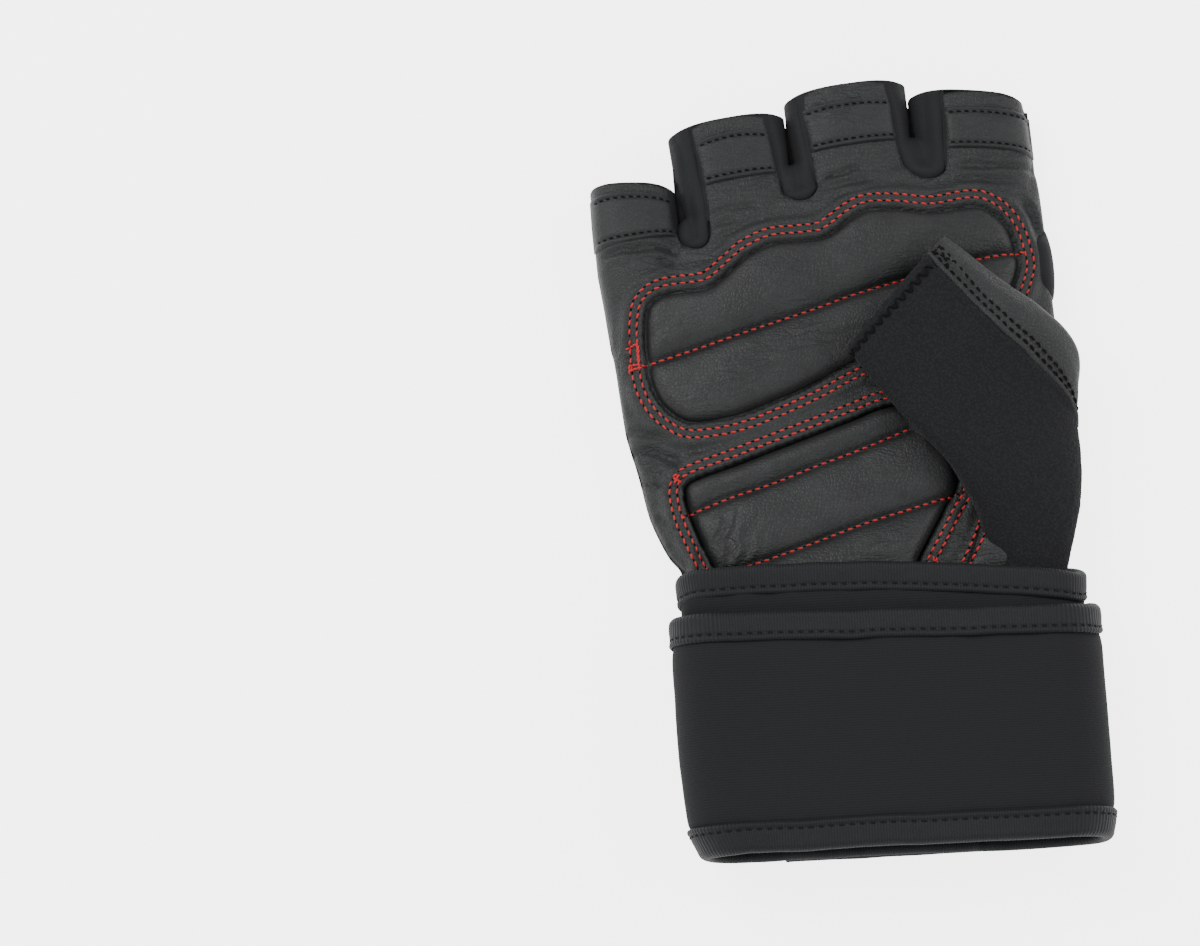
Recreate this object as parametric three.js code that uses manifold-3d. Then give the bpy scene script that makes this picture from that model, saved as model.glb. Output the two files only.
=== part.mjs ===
// Fingerless weightlifting glove for the right hand, lying on its back with the thumb folded over the palm.
// Millimetres, +Z up, fingers along +Y, thumb towards +X.
import * as THREE from 'three';
import Module from 'manifold-3d';

const wasm = await Module();
wasm.setup();

const mix = THREE.MathUtils.lerp;
const smooth = THREE.MathUtils.smoothstep;
const radians = THREE.MathUtils.degToRad;

// Clearance between pieces that touch
const CLEARANCE = 0.3;

// Wrist: the inner cuff, the strap wound round it and the tapes on their edges
const CUFF_WIDTH = 96;
const CUFF_OPENING = 12;
const CUFF_WALL = 2.2;
const CUFF_RISE = 9;
const CUFF_TUCK = 4;
const CUFF_CROWN = 1.2;
const STRAP_WIDTH = 57;
const STRAP_WALL = 2.4;
const STRAP_START = 20;
const STRAP_END = 26;
const CLOSURE_WIDTH = 34;
const CLOSURE_WALL = 1;
const TAPE_WIDTH = 6.8;
const TAPE_WALL = 0.6;
const TAPE_PROUD = 0.25;

// Hand: one tube for the palm with four stubs on it
const HAND_LEAN = 2.3;
const PALM_WIDTH = 109;
const PALM_REACH = 102.4;
const PALM_THICKNESS = 16.3;
const HAND_WALL = 1.3;
const HAND_TUCK = 8;
const KNUCKLE_DROP = 13.7;
const KNUCKLE_PEAK = 0.35;
const STUB_REACH = 20;
const STUB_THICKNESS = 15.4;
const SEAM_SHARE = 0.42;
const GUSSET_DEPTH = 3.2;
const BAND_WALL = 0.9;

// Padded patches on the palm
const PAD_THICKNESS = 3.2;
const THUMB_PAD_THICKNESS = 1.8;
const CHANNEL_RADIUS = 1.6;
const CHANNEL_DEPTH = 1.1;

// Thumb: a flat tube from the palm's right edge to its open end over the palm
const THUMB_WIDTH = 43;
const THUMB_THICKNESS = 11.2;
const THUMB_LIFT = 24.7;

// Fineness of the facets
const PALM_SIDES = 36;
const STUB_SIDES = 20;
const THUMB_SIDES = 24;
const PAD_SIDES = 38;
const BEND_STEPS = 7;
const ROUNDNESS = 2.7;

// Levels and edges that the pieces share
const CUFF_TOP = STRAP_WIDTH + CUFF_RISE;
const STRAP_INNER = CUFF_WALL / 2 + TAPE_PROUD + CLEARANCE + STRAP_WALL / 2;
const STRAP_OUTER = STRAP_INNER + STRAP_WALL + CLOSURE_WALL + 2 * CLEARANCE;
const LOOP_FLOOR = TAPE_PROUD + STRAP_WALL / 2 + STRAP_OUTER;
const LOOP_RADIUS = (CUFF_OPENING + CUFF_WALL) / 2;
const LOOP_STRAIGHT = CUFF_WIDTH / 2 - CUFF_WALL / 2 - LOOP_RADIUS;
const WRIST_GAP = TAPE_PROUD + CLEARANCE;
const WRIST_FLOOR = LOOP_FLOOR + CUFF_WALL / 2 + WRIST_GAP;
const WRIST_CEILING = LOOP_FLOOR + CUFF_OPENING + CUFF_WALL / 2 - WRIST_GAP;
const WRIST_TOP = WRIST_CEILING - HAND_WALL - CLEARANCE;
const WRIST_HALF = CUFF_WIDTH / 2 - CUFF_WALL - WRIST_GAP - HAND_TUCK * Math.sin(radians(HAND_LEAN));
const FAR = 400;

// Rows from the wrist to the knuckles. along: share of the palm's reach; palm: how far the wrist's form has given
// way to the palm's; left, right: edges as shares of the palm's width; thick: share of the palm's thickness.
const PALM_ROWS = [
  { along: 0.00, palm: 0.00, left: 0.50, right: 0.45, thick: 1.00 },
  { along: 0.02, palm: 0.02, left: 0.50, right: 0.45, thick: 1.00 },
  { along: 0.12, palm: 0.45, left: 0.51, right: 0.45, thick: 1.00 },
  { along: 0.25, palm: 0.75, left: 0.514, right: 0.454, thick: 1.00 },
  { along: 0.40, palm: 0.93, left: 0.512, right: 0.457, thick: 1.00 },
  { along: 0.55, palm: 1.00, left: 0.525, right: 0.459, thick: 1.00 },
  { along: 0.74, palm: 1.00, left: 0.533, right: 0.460, thick: 0.99 },
  { along: 0.90, palm: 1.00, left: 0.540, right: 0.460, thick: 0.94 },
  { along: 0.97, palm: 1.00, left: 0.540, right: 0.458, thick: 0.86 },
  { along: 1.00, palm: 1.00, left: 0.538, right: 0.454, thick: 0.66 },
];

// One row for each stub, from the little finger on. Places across the hand are shares of the palm's width: root and
// tip are the middle of the stub, rootWidth and tipWidth its width, and leather's edges are where its front ends at
// the root and at the tip. reach: share of the stubs' reach beyond the knuckles' peak; slant: slope of the open end.
const STUBS = [
  { finger: 'little', root: -0.460, tip: -0.458, rootWidth: 0.196, tipWidth: 0.190, reach: -0.02, slant: -0.09,
    leatherRoot: [-0.65, -0.381], leatherTip: [-0.65, -0.379], rootDrop: 1.05, bandFrom: 0.50, bandTo: 0.88 },
  { finger: 'ring', root: -0.225, tip: -0.2325, rootWidth: 0.258, tipWidth: 0.265, reach: 0.70, slant: 0.09,
    leatherRoot: [-0.291, -0.125], leatherTip: [-0.317, -0.151], rootDrop: 0.30, bandFrom: 0.22, bandTo: 0.80 },
  { finger: 'middle', root: 0.047, tip: 0.044, rootWidth: 0.274, tipWidth: 0.276, reach: 1.00, slant: 0.06,
    leatherRoot: [-0.037, 0.147], leatherTip: [-0.051, 0.128], rootDrop: 0.02, bandFrom: 0.24, bandTo: 0.80 },
  { finger: 'index', root: 0.3235, tip: 0.316, rootWidth: 0.261, tipWidth: 0.255, reach: 0.78, slant: -0.14,
    leatherRoot: [0.255, 0.60], leatherTip: [0.260, 0.60], rootDrop: 0.10, bandFrom: 0.16, bandTo: 0.78 },
];

// Rows from the cuff to the thumb's open end. free: how far the row has left the cuff's hollow; across: share of the
// palm's width; along: share of its reach; wide and thick: shares of the thumb's width and thickness; lift: share of
// its lift; turn and bank: degrees.
const THUMB_ROWS = [
  { free: 0.0, across: 0.346, along: -0.041, wide: 0.42, thick: 0.84, lift: 0.675, turn: 0, bank: 0 },
  { free: 0.0, across: 0.348, along: 0.012, wide: 0.46, thick: 0.84, lift: 0.700, turn: 0, bank: 0 },
  { free: 1.0, across: 0.347, along: 0.117, wide: 0.63, thick: 1.00, lift: 0.750, turn: 5, bank: -14 },
  { free: 1.0, across: 0.332, along: 0.207, wide: 0.75, thick: 1.04, lift: 0.800, turn: 11, bank: -20 },
  { free: 1.0, across: 0.312, along: 0.303, wide: 0.88, thick: 1.04, lift: 0.860, turn: 16, bank: -17 },
  { free: 1.0, across: 0.292, along: 0.403, wide: 1.05, thick: 1.00, lift: 0.940, turn: 21, bank: -7 },
  { free: 1.0, across: 0.236, along: 0.481, wide: 1.00, thick: 0.98, lift: 1.000, turn: 30, bank: 0 },
  { free: 1.0, across: 0.176, along: 0.550, wide: 0.93, thick: 0.95, lift: 1.005, turn: 34, bank: 0 },
  { free: 1.0, across: 0.095, along: 0.649, wide: 0.85, thick: 0.93, lift: 1.010, turn: 44, bank: 0 },
];
const THUMB_HOLE_ROW = 2;
const THUMB_FREE_ROW = 5;

// Seam between the thumb's leather and towelling, from the open end to the right edge
const THUMB_SEAM = [
  { across: 0.107, along: 0.831 },
  { across: 0.159, along: 0.741 },
  { across: 0.229, along: 0.633 },
  { across: 0.312, along: 0.522 },
  { across: 0.379, along: 0.440 },
  { across: 0.480, along: 0.325 },
];

// Outlines of the patches, counter-clockwise, with channels as pairs of ends
const PADS = [
  { name: 'upper_palm_pad', thickness: PAD_THICKNESS, middle: { across: -0.05, along: 0.609 },
    outline: [
      { across: -0.463, along: 0.622 }, { across: -0.463, along: 0.524 }, { across: -0.446, along: 0.463 },
      { across: -0.410, along: 0.418 }, { across: -0.367, along: 0.399 }, { across: -0.278, along: 0.405 },
      { across: -0.187, along: 0.432 }, { across: -0.095, along: 0.468 }, { across: -0.025, along: 0.501 },
      { across: 0.137, along: 0.565 }, { across: 0.270, along: 0.585 }, { across: 0.344, along: 0.626 },
      { across: 0.384, along: 0.705 }, { across: 0.384, along: 0.752 }, { across: 0.349, along: 0.841 },
      { across: 0.276, along: 0.868 }, { across: 0.202, along: 0.861 }, { across: 0.125, along: 0.876 },
      { across: 0.062, along: 0.880 }, { across: -0.019, along: 0.836 }, { across: -0.105, along: 0.819 },
      { across: -0.161, along: 0.818 }, { across: -0.214, along: 0.798 }, { across: -0.292, along: 0.737 },
      { across: -0.326, along: 0.723 }, { across: -0.409, along: 0.721 }, { across: -0.447, along: 0.703 },
    ],
    channels: [[{ across: -0.480, along: 0.547 }, { across: 0.41, along: 0.764 }]] },
  { name: 'lower_palm_pad', thickness: PAD_THICKNESS, middle: { across: -0.12, along: 0.193 },
    outline: [
      { across: -0.352, along: 0.019 }, { across: 0.083, along: 0.017 }, { across: 0.121, along: 0.080 },
      { across: 0.160, along: 0.144 }, { across: 0.188, along: 0.190 }, { across: 0.190, along: 0.271 },
      { across: 0.160, along: 0.355 }, { across: 0.105, along: 0.395 }, { across: 0.041, along: 0.392 },
      { across: -0.108, along: 0.344 }, { across: -0.289, along: 0.290 }, { across: -0.380, along: 0.265 },
      { across: -0.409, along: 0.230 }, { across: -0.403, along: 0.177 }, { across: -0.378, along: 0.095 },
    ],
    channels: [
      [{ across: -0.43, along: 0.170 }, { across: 0.19, along: 0.363 }],
      [{ across: -0.32, along: 0.032 }, { across: 0.22, along: 0.184 }],
    ] },
  { name: 'thumb_base_pad', thickness: THUMB_PAD_THICKNESS, middle: { across: 0.250, along: 0.070 },
    outline: [
      { across: 0.192, along: 0.019 }, { across: 0.300, along: 0.019 }, { across: 0.300, along: 0.080 },
      { across: 0.275, along: 0.125 }, { across: 0.245, along: 0.135 }, { across: 0.218, along: 0.085 },
    ],
    channels: [] },
];

// Closed solid from rings of points with strips between them, and caps unless the rings close on themselves
function ringSolid(rings, caps) {
  const count = rings[0].length;
  const spans = caps ? rings.length - 1 : rings.length;
  const faces = [];
  for (let j = 0; j < spans; j += 1) {
    const near = j * count;
    const far = ((j + 1) % rings.length) * count;
    for (let i = 0; i < count; i += 1) {
      const next = (i + 1) % count;
      faces.push(near + i, far + next, near + next, near + i, far + i, far + next);
    }
  }
  if (caps) {
    const last = (rings.length - 1) * count;
    caps.forEach(([a, b, c]) => faces.push(a, b, c, last + a, last + c, last + b));
  }
  const points = rings.flat().flatMap((p) => [p.x, p.y, p.z]);
  return new wasm.Manifold(new wasm.Mesh({
    numProp: 3,
    vertProperties: new Float32Array(points),
    triVerts: new Uint32Array(faces),
  }));
}

// Cap of a ring whose points lie in pairs above and below its middle line
function stripCap(count) {
  const faces = [];
  for (let i = 0; i < count / 2; i += 1) {
    const upper = [i, i + 1];
    const lower = [(count - i) % count, count - i - 1];
    if (i > 0) faces.push([upper[0], upper[1], lower[0]]);
    if (i < count / 2 - 1) faces.push([upper[1], lower[1], lower[0]]);
  }
  return faces;
}

// Cap of any outline given as (x, y) pairs
function outlineCap(outline) {
  return THREE.ShapeUtils.triangulateShape(outline.map(([x, y]) => new THREE.Vector2(x, y)), []);
}

// Upright prism over an outline in plan
function prism(outline, bottom, top) {
  const shape = new THREE.Shape(outline.map(([x, y]) => new THREE.Vector2(x, y)));
  if (THREE.ShapeUtils.isClockWise(shape.getPoints())) outline.reverse();
  const rings = [top, bottom].map((z) => outline.map(([x, y]) => new THREE.Vector3(x, y, z)));
  return ringSolid(rings, outlineCap(outline));
}

function union(solids) {
  return solids.reduce((whole, solid) => whole.add(solid));
}

// Ring of a flattened round section: place of its middle, half sizes, turn in plan and bank about its axis
function sectionRing({ x, y, z, half, rise, turn = 0, bank = 0 }, sides) {
  const ring = [];
  for (let i = 0; i < sides; i += 1) {
    const angle = (2 * Math.PI * i) / sides;
    const c = Math.cos(angle);
    const s = Math.sin(angle);
    const across = half * Math.sign(c) * Math.abs(c) ** (2 / ROUNDNESS);
    const up = rise * Math.sign(s) * Math.abs(s) ** (2 / ROUNDNESS);
    const flat = across * Math.cos(bank) - up * Math.sin(bank);
    const high = across * Math.sin(bank) + up * Math.cos(bank);
    ring.push(new THREE.Vector3(x + flat * Math.cos(turn), y + flat * Math.sin(turn), z + high));
  }
  return ring;
}

// Palm
function knuckleLine(x) {
  const share = x / (PALM_WIDTH / 2);
  return CUFF_TOP + PALM_REACH - KNUCKLE_DROP * (share - KNUCKLE_PEAK) ** 2;
}

function palmForm(row) {
  const left = -mix(WRIST_HALF, row.left * PALM_WIDTH, row.palm);
  const right = mix(WRIST_HALF, row.right * PALM_WIDTH, row.palm);
  const middle = PALM_THICKNESS / 2;
  const floor = mix(WRIST_FLOOR, middle * (1 - row.thick), row.palm);
  const top = mix(WRIST_TOP, middle * (1 + row.thick), row.palm);
  return { left, right, floor, top };
}

function palmSolid(grow) {
  const rings = PALM_ROWS.map((row) => {
    const { left, right, floor, top } = palmForm(row);
    const section = { x: (left + right) / 2, y: 0, z: (floor + top) / 2,
      half: (right - left) / 2 + grow, rise: (top - floor) / 2 + grow };
    return sectionRing(section, PALM_SIDES).map((p) => {
      const knuckle = knuckleLine(p.x) + grow;
      return new THREE.Vector3(p.x, mix(CUFF_TOP, knuckle, row.along), p.z);
    });
  });
  const mouth = CUFF_TOP - HAND_TUCK - (grow < 0 ? HAND_TUCK : 0);
  const first = rings[0].map((p) => new THREE.Vector3(p.x, mouth, p.z));
  return ringSolid([first, ...rings], stripCap(PALM_SIDES));
}

function palmTop(x, y) {
  const along = THREE.MathUtils.clamp((y - CUFF_TOP) / (knuckleLine(x) - CUFF_TOP), 0, 1);
  const after = Math.max(1, PALM_ROWS.findIndex((row) => row.along >= along));
  const [low, high] = [PALM_ROWS[after - 1], PALM_ROWS[after]];
  const share = (along - low.along) / (high.along - low.along);
  const [a, b] = [palmForm(low), palmForm(high)];
  const left = mix(a.left, b.left, share);
  const right = mix(a.right, b.right, share);
  const floor = mix(a.floor, b.floor, share);
  const top = mix(a.top, b.top, share);
  const off = Math.min(1, Math.abs((2 * x - left - right) / (right - left)));
  return (floor + top) / 2 + ((top - floor) / 2) * (1 - off ** ROUNDNESS) ** (1 / ROUNDNESS);
}

// Finger stubs
function stubLine(stub, share) {
  const tipY = CUFF_TOP + PALM_REACH + stub.reach * STUB_REACH;
  const rootY = CUFF_TOP + PALM_REACH - stub.rootDrop * STUB_REACH;
  return {
    x: mix(stub.root, stub.tip, share) * PALM_WIDTH,
    y: mix(rootY, tipY, share),
    half: (mix(stub.rootWidth, stub.tipWidth, share) * PALM_WIDTH) / 2,
    turn: Math.atan(stub.slant) * share,
  };
}

// Sections along a stub, the first sunk in the palm. share: place from root to tip; size: share of its full section.
const STUB_SECTIONS = [
  { share: -0.9, size: 0.78 },
  { share: 0.0, size: 0.96 },
  { share: 0.6, size: 1.00 },
  { share: 1.0, size: 1.00 },
];

function stubSolid(stub, grow) {
  const beyond = grow < 0 ? 0.1 : 0;
  const rings = STUB_SECTIONS.map(({ share, size }) => {
    const { x, y, half, turn } = stubLine(stub, share === 1 ? share + beyond : share);
    const rise = (STUB_THICKNESS / 2) * size;
    const z = STUB_THICKNESS / 2;
    return sectionRing({ x, y, z, half: half * size + grow, rise: rise + grow, turn }, STUB_SIDES);
  });
  return ringSolid(rings, stripCap(STUB_SIDES));
}

// Place on the edge of a stub's leather front: side 0 is its left edge and 1 its right
function leatherEdge(stub, side, share) {
  const x = mix(stub.leatherRoot[side], stub.leatherTip[side], share) * PALM_WIDTH;
  const line = stubLine(stub, share);
  return [x, line.y + (x - line.x) * Math.tan(line.turn)];
}

// Thumb
function thumbForm(row) {
  const half = (row.wide * THUMB_WIDTH) / 2;
  const rise = (row.thick * THUMB_THICKNESS) / 2;
  return {
    x: mix(WRIST_HALF - 2 * CLEARANCE - half, row.across * PALM_WIDTH, row.free),
    y: CUFF_TOP + row.along * PALM_REACH,
    z: mix(WRIST_CEILING - rise, row.lift * THUMB_LIFT, row.free),
    half,
    rise,
    turn: radians(row.turn),
    bank: radians(row.bank),
  };
}

function thumbSolid(grow, firstRow) {
  const rings = THUMB_ROWS.slice(firstRow).map(thumbForm).map((form) => (
    sectionRing({ ...form, half: form.half + grow, rise: form.rise + grow }, THUMB_SIDES)
  ));
  if (grow < 0) {
    const out = radians(THUMB_ROWS.at(-1).turn);
    const push = new THREE.Vector3(-Math.sin(out), Math.cos(out), 0).multiplyScalar(HAND_WALL);
    rings.push(rings.at(-1).map((p) => p.clone().add(push)));
  }
  return ringSolid(rings, stripCap(THUMB_SIDES));
}

// Everything right of the seam, and everything under the thumb's middle where it lies free
function thumbLeatherSide(grow) {
  const seam = THUMB_SEAM.map(({ across, along }) => [
    across * PALM_WIDTH - grow,
    CUFF_TOP + along * PALM_REACH - grow,
  ]);
  const right = prism([...seam, [PALM_WIDTH, seam.at(-1)[1]], [PALM_WIDTH, seam[0][1]]], 0, FAR);
  const rows = THUMB_ROWS.slice(THUMB_FREE_ROW);
  const under = ringSolid(rows.map((row, i) => {
    const form = thumbForm(row);
    const { turn } = form;
    const push = i === 0 ? -grow : (i === rows.length - 1) * THUMB_THICKNESS;
    const x = form.x - push * Math.sin(turn);
    const y = form.y + push * Math.cos(turn);
    const z = form.z + grow;
    const at = (side, level) => new THREE.Vector3(x + side * Math.cos(turn), y + side * Math.sin(turn), level);
    return [at(THUMB_WIDTH, z), at(-THUMB_WIDTH, z), at(-THUMB_WIDTH, 0), at(THUMB_WIDTH, 0)];
  }), [[0, 1, 2], [0, 2, 3]]);
  return right.add(under);
}

// Loop of the inner cuff's middle, from the bottom's middle round the left side: 1 unit for each half of the
// bottom and each bend, 2 for the top. Gives the place and the outward direction in the X-Z plane.
function wristLoop(place) {
  const u = ((place % 6) + 6) % 6;
  const height = LOOP_FLOOR + LOOP_RADIUS;
  if (u < 1) return { x: -u * LOOP_STRAIGHT, z: LOOP_FLOOR, outX: 0, outZ: -1 };
  if (u >= 5) return { x: (6 - u) * LOOP_STRAIGHT, z: LOOP_FLOOR, outX: 0, outZ: -1 };
  if (u < 2 || u >= 4) {
    const side = u < 2 ? -1 : 1;
    const angle = u < 2 ? Math.PI * (u - 1) : Math.PI * (5 - u);
    const outX = side * Math.sin(angle);
    const outZ = -Math.cos(angle);
    return { x: side * LOOP_STRAIGHT + outX * LOOP_RADIUS, z: height + outZ * LOOP_RADIUS, outX, outZ };
  }
  const share = u - 3;
  const crown = CUFF_CROWN * Math.cos((share * Math.PI) / 2) ** 2;
  const slope = (-CUFF_CROWN * Math.PI * Math.sin(share * Math.PI)) / (2 * LOOP_STRAIGHT);
  const length = Math.hypot(1, slope);
  return { x: share * LOOP_STRAIGHT, z: height + LOOP_RADIUS + crown, outX: -slope / length, outZ: 1 / length };
}

// Places along the loop between two ends, close together in the bends and wide apart on the flats
function loopPlaces(from, to) {
  const stops = [0, 0.5];
  for (let i = 0; i <= BEND_STEPS; i += 1) stops.push(1 + i / BEND_STEPS);
  for (let i = 1; i < BEND_STEPS - 1; i += 1) stops.push(2 + (2 * i) / (BEND_STEPS - 1));
  for (let i = 0; i <= BEND_STEPS; i += 1) stops.push(4 + i / BEND_STEPS);
  stops.push(5.5);
  const all = [-6, 0, 6].flatMap((turn) => stops.map((stop) => stop + turn));
  const gap = 0.04;
  return [from, ...all.filter((stop) => stop > from + gap && stop < to - gap), to];
}

// Band along the loop. section: [out, y] corners; offset: how far out its middle runs at each place.
function bandSolid(section, places, offset, caps) {
  const rings = places.map((place) => {
    const { x, z, outX, outZ } = wristLoop(place);
    return section.map(([out, y]) => {
      const reach = out + offset(place);
      return new THREE.Vector3(x + outX * reach, y, z + outZ * reach);
    });
  });
  return ringSolid(rings, caps && outlineCap(section));
}

const TAPE_SLOT = TAPE_WALL + CLEARANCE;

// Band section, thinner at the edges that a tape folds over: edge is where the tape's fold ends
function bandSection(wall, bottom, top) {
  const core = wall / 2 + TAPE_PROUD - TAPE_SLOT;
  const field = wall / 2;
  const lower = bottom.taped ? bottom.y + TAPE_SLOT : bottom.y;
  const upper = top.taped ? top.y - TAPE_SLOT : top.y;
  const lowStep = bottom.y + TAPE_WIDTH + CLEARANCE;
  const highStep = top.y - TAPE_WIDTH - CLEARANCE;
  const outer = [];
  if (bottom.taped) outer.push([core, lower], [core, lowStep]);
  outer.push([field, bottom.taped ? lowStep : lower], [field, top.taped ? highStep : upper]);
  if (top.taped) outer.push([core, highStep], [core, upper]);
  const inner = outer.map(([out, y]) => [-out, y]).reverse();
  return [...outer, ...inner];
}

// Folded tape over an edge at y, opening towards the band: facing is 1 if the band lies above the edge
function tapeSection(wall, y, facing) {
  const outside = wall / 2 + TAPE_PROUD;
  const slot = outside - TAPE_WALL;
  const section = [
    [outside, y], [outside, y + facing * TAPE_WIDTH], [slot, y + facing * TAPE_WIDTH],
    [slot, y + facing * TAPE_WALL], [-slot, y + facing * TAPE_WALL], [-slot, y + facing * TAPE_WIDTH],
    [-outside, y + facing * TAPE_WIDTH], [-outside, y],
  ];
  return facing > 0 ? section : section.reverse();
}

const strapFrom = -STRAP_START / LOOP_STRAIGHT;
const strapTo = 6 + STRAP_END / LOOP_STRAIGHT;
const strapPlaces = loopPlaces(strapFrom, strapTo);
const strapOffset = (place) => mix(STRAP_INNER, STRAP_OUTER, smooth(place, 4.2, 6 + strapFrom - 0.1));
const cuffPlaces = loopPlaces(0, 6).slice(0, -1);
const onLoop = () => 0;

// Padded patch: a crowned top that follows the palm, with a bottom deep enough to be cut by the palm
function padSolid(pad) {
  const middle = place(pad.middle);
  const curve = new THREE.CatmullRomCurve3(pad.outline.map((point) => place(point)), true);
  const edge = curve.getPoints(PAD_SIDES).slice(0, -1);
  const levels = [
    { share: 1.00, rise: -1.50 },
    { share: 1.00, rise: 0.30 },
    { share: 0.965, rise: 0.80 },
    { share: 0.90, rise: 1.00 },
    { share: 0.62, rise: 1.00 },
    { share: 0.30, rise: 1.00 },
  ];
  const rings = levels.map(({ share, rise }) => edge.map((p) => {
    const x = mix(middle.x, p.x, share);
    const y = mix(middle.y, p.y, share);
    return new THREE.Vector3(x, y, palmTop(x, y) + CLEARANCE + rise * pad.thickness);
  })).reverse();
  const cap = outlineCap(edge.map((p) => [p.x, p.y]));
  let solid = ringSolid(rings, cap);
  for (const [from, to] of pad.channels) solid = solid.subtract(channelSolid(place(from), place(to), pad));
  return solid;
}

function place({ across, along }) {
  return new THREE.Vector3(across * PALM_WIDTH, CUFF_TOP + along * PALM_REACH, 0);
}

// Round tool along a quilting channel, sunk into the top of its patch
function channelSolid(from, to, pad) {
  const steps = 6;
  const sides = 8;
  const rings = [];
  const across = new THREE.Vector3().subVectors(to, from).cross(new THREE.Vector3(0, 0, 1)).normalize();
  for (let j = 0; j <= steps; j += 1) {
    const p = new THREE.Vector3().lerpVectors(from, to, j / steps);
    const z = palmTop(p.x, p.y) + CLEARANCE + pad.thickness + CHANNEL_RADIUS - CHANNEL_DEPTH;
    const ring = [];
    for (let i = 0; i < sides; i += 1) {
      const angle = (2 * Math.PI * i) / sides;
      const side = across.clone().multiplyScalar(CHANNEL_RADIUS * Math.cos(angle));
      ring.push(new THREE.Vector3(p.x + side.x, p.y + side.y, z + CHANNEL_RADIUS * Math.sin(angle)));
    }
    rings.push(ring.reverse());
  }
  return ringSolid(rings.reverse(), stripCap(sides));
}

// Region over the seam between the palm's leather and its back
function aboveSeam(drop) {
  const wristSeam = (WRIST_FLOOR + WRIST_TOP) / 2 - drop;
  const palmSeam = PALM_THICKNESS * SEAM_SHARE - drop;
  const line = PALM_ROWS.slice(0, 6).map((row) => [
    CUFF_TOP + row.along * PALM_REACH,
    mix(wristSeam, palmSeam, row.palm),
  ]);
  const profile = [[0, wristSeam], ...line, [FAR, palmSeam], [FAR, FAR], [0, FAR]];
  const rings = [FAR, -FAR].map((x) => profile.map(([y, z]) => new THREE.Vector3(x, y, z)));
  return ringSolid(rings, outlineCap(profile));
}

// Plan of a gusset: from the right leather edge of one stub round the crotch to the left edge of the next
function gussetPrism(left, right, grow) {
  const leftRoot = leatherEdge(left, 1, 0);
  const leftTip = leatherEdge(left, 1, 3);
  const rightRoot = leatherEdge(right, 0, 0);
  const rightTip = leatherEdge(right, 0, 3);
  const crotch = (stubLine(left, 0).x + stubLine(left, 0).half + stubLine(right, 0).x - stubLine(right, 0).half) / 2;
  const bottom = knuckleLine(crotch) - GUSSET_DEPTH - grow;
  const half = Math.min(crotch - leftRoot[0], rightRoot[0] - crotch) * 0.45;
  return prism([
    [leftTip[0] - grow, leftTip[1]], [leftRoot[0] - grow, Math.max(leftRoot[1], bottom + half)],
    [crotch - half - grow, bottom], [crotch + half + grow, bottom],
    [rightRoot[0] + grow, Math.max(rightRoot[1], bottom + half)], [rightTip[0] + grow, rightTip[1]],
  ], -1, FAR);
}

function bandPrism(stub) {
  const corners = [[0, stub.bandFrom], [1, stub.bandFrom], [1, stub.bandTo], [0, stub.bandTo]];
  const inset = [CLEARANCE, -CLEARANCE];
  const outline = corners.map(([side, share]) => {
    const line = stubLine(stub, share);
    const [x, y] = leatherEdge(stub, side, share);
    const limited = THREE.MathUtils.clamp(x, line.x - line.half, line.x + line.half);
    return [limited + inset[side], y + (limited - x) * Math.tan(line.turn)];
  });
  return prism(outline, STUB_THICKNESS * 0.6, FAR);
}

// The pieces, as solids
const thumbGrown = thumbSolid(CLEARANCE, 0);
const thumbInner = thumbSolid(-HAND_WALL, THUMB_HOLE_ROW);
const handOuter = union([palmSolid(0), ...STUBS.map((stub) => stubSolid(stub, 0))]);
const handInner = union([palmSolid(-HAND_WALL), ...STUBS.map((stub) => stubSolid(stub, -HAND_WALL))]);
const handGrown = union([palmSolid(CLEARANCE), ...STUBS.map((stub) => stubSolid(stub, CLEARANCE))]);
const handShell = handOuter.subtract(handInner).subtract(thumbInner);
const pairs = STUBS.slice(1).map((stub, i) => [STUBS[i], stub]);
const handPanels = handShell.subtract(union(pairs.map(([a, b]) => gussetPrism(a, b, CLEARANCE))));
const thumbShell = thumbSolid(0, 0).subtract(thumbInner).subtract(handGrown);

const leather = { color: 0x35373a, roughness: 0.55 };
const spandex = { color: 0x1f2223, roughness: 0.7 };
const neoprene = { color: 0x2a2c2d, roughness: 0.85 };
const tape = { color: 0x23272a, roughness: 0.8 };

const glove = new THREE.Group();
const hand = new THREE.Group();
const wrist = new THREE.Group();
glove.add(hand, wrist);

// The hand leans from the wrist's line towards the little finger, about the middle of the cuff's edge
hand.rotation.z = radians(HAND_LEAN);
hand.position.set(CUFF_TOP * Math.sin(hand.rotation.z), CUFF_TOP * (1 - Math.cos(hand.rotation.z)), 0);

function addPiece(group, name, solid, finish) {
  const { vertProperties, triVerts } = solid.getMesh();
  const geometry = new THREE.BufferGeometry();
  geometry.setAttribute('position', new THREE.BufferAttribute(new Float32Array(vertProperties), 3));
  geometry.setIndex(new THREE.BufferAttribute(new Uint32Array(triVerts), 1));
  geometry.computeVertexNormals();
  const mesh = new THREE.Mesh(geometry, new THREE.MeshStandardMaterial({ metalness: 0, ...finish }));
  mesh.name = name;
  group.add(mesh);
}

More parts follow.
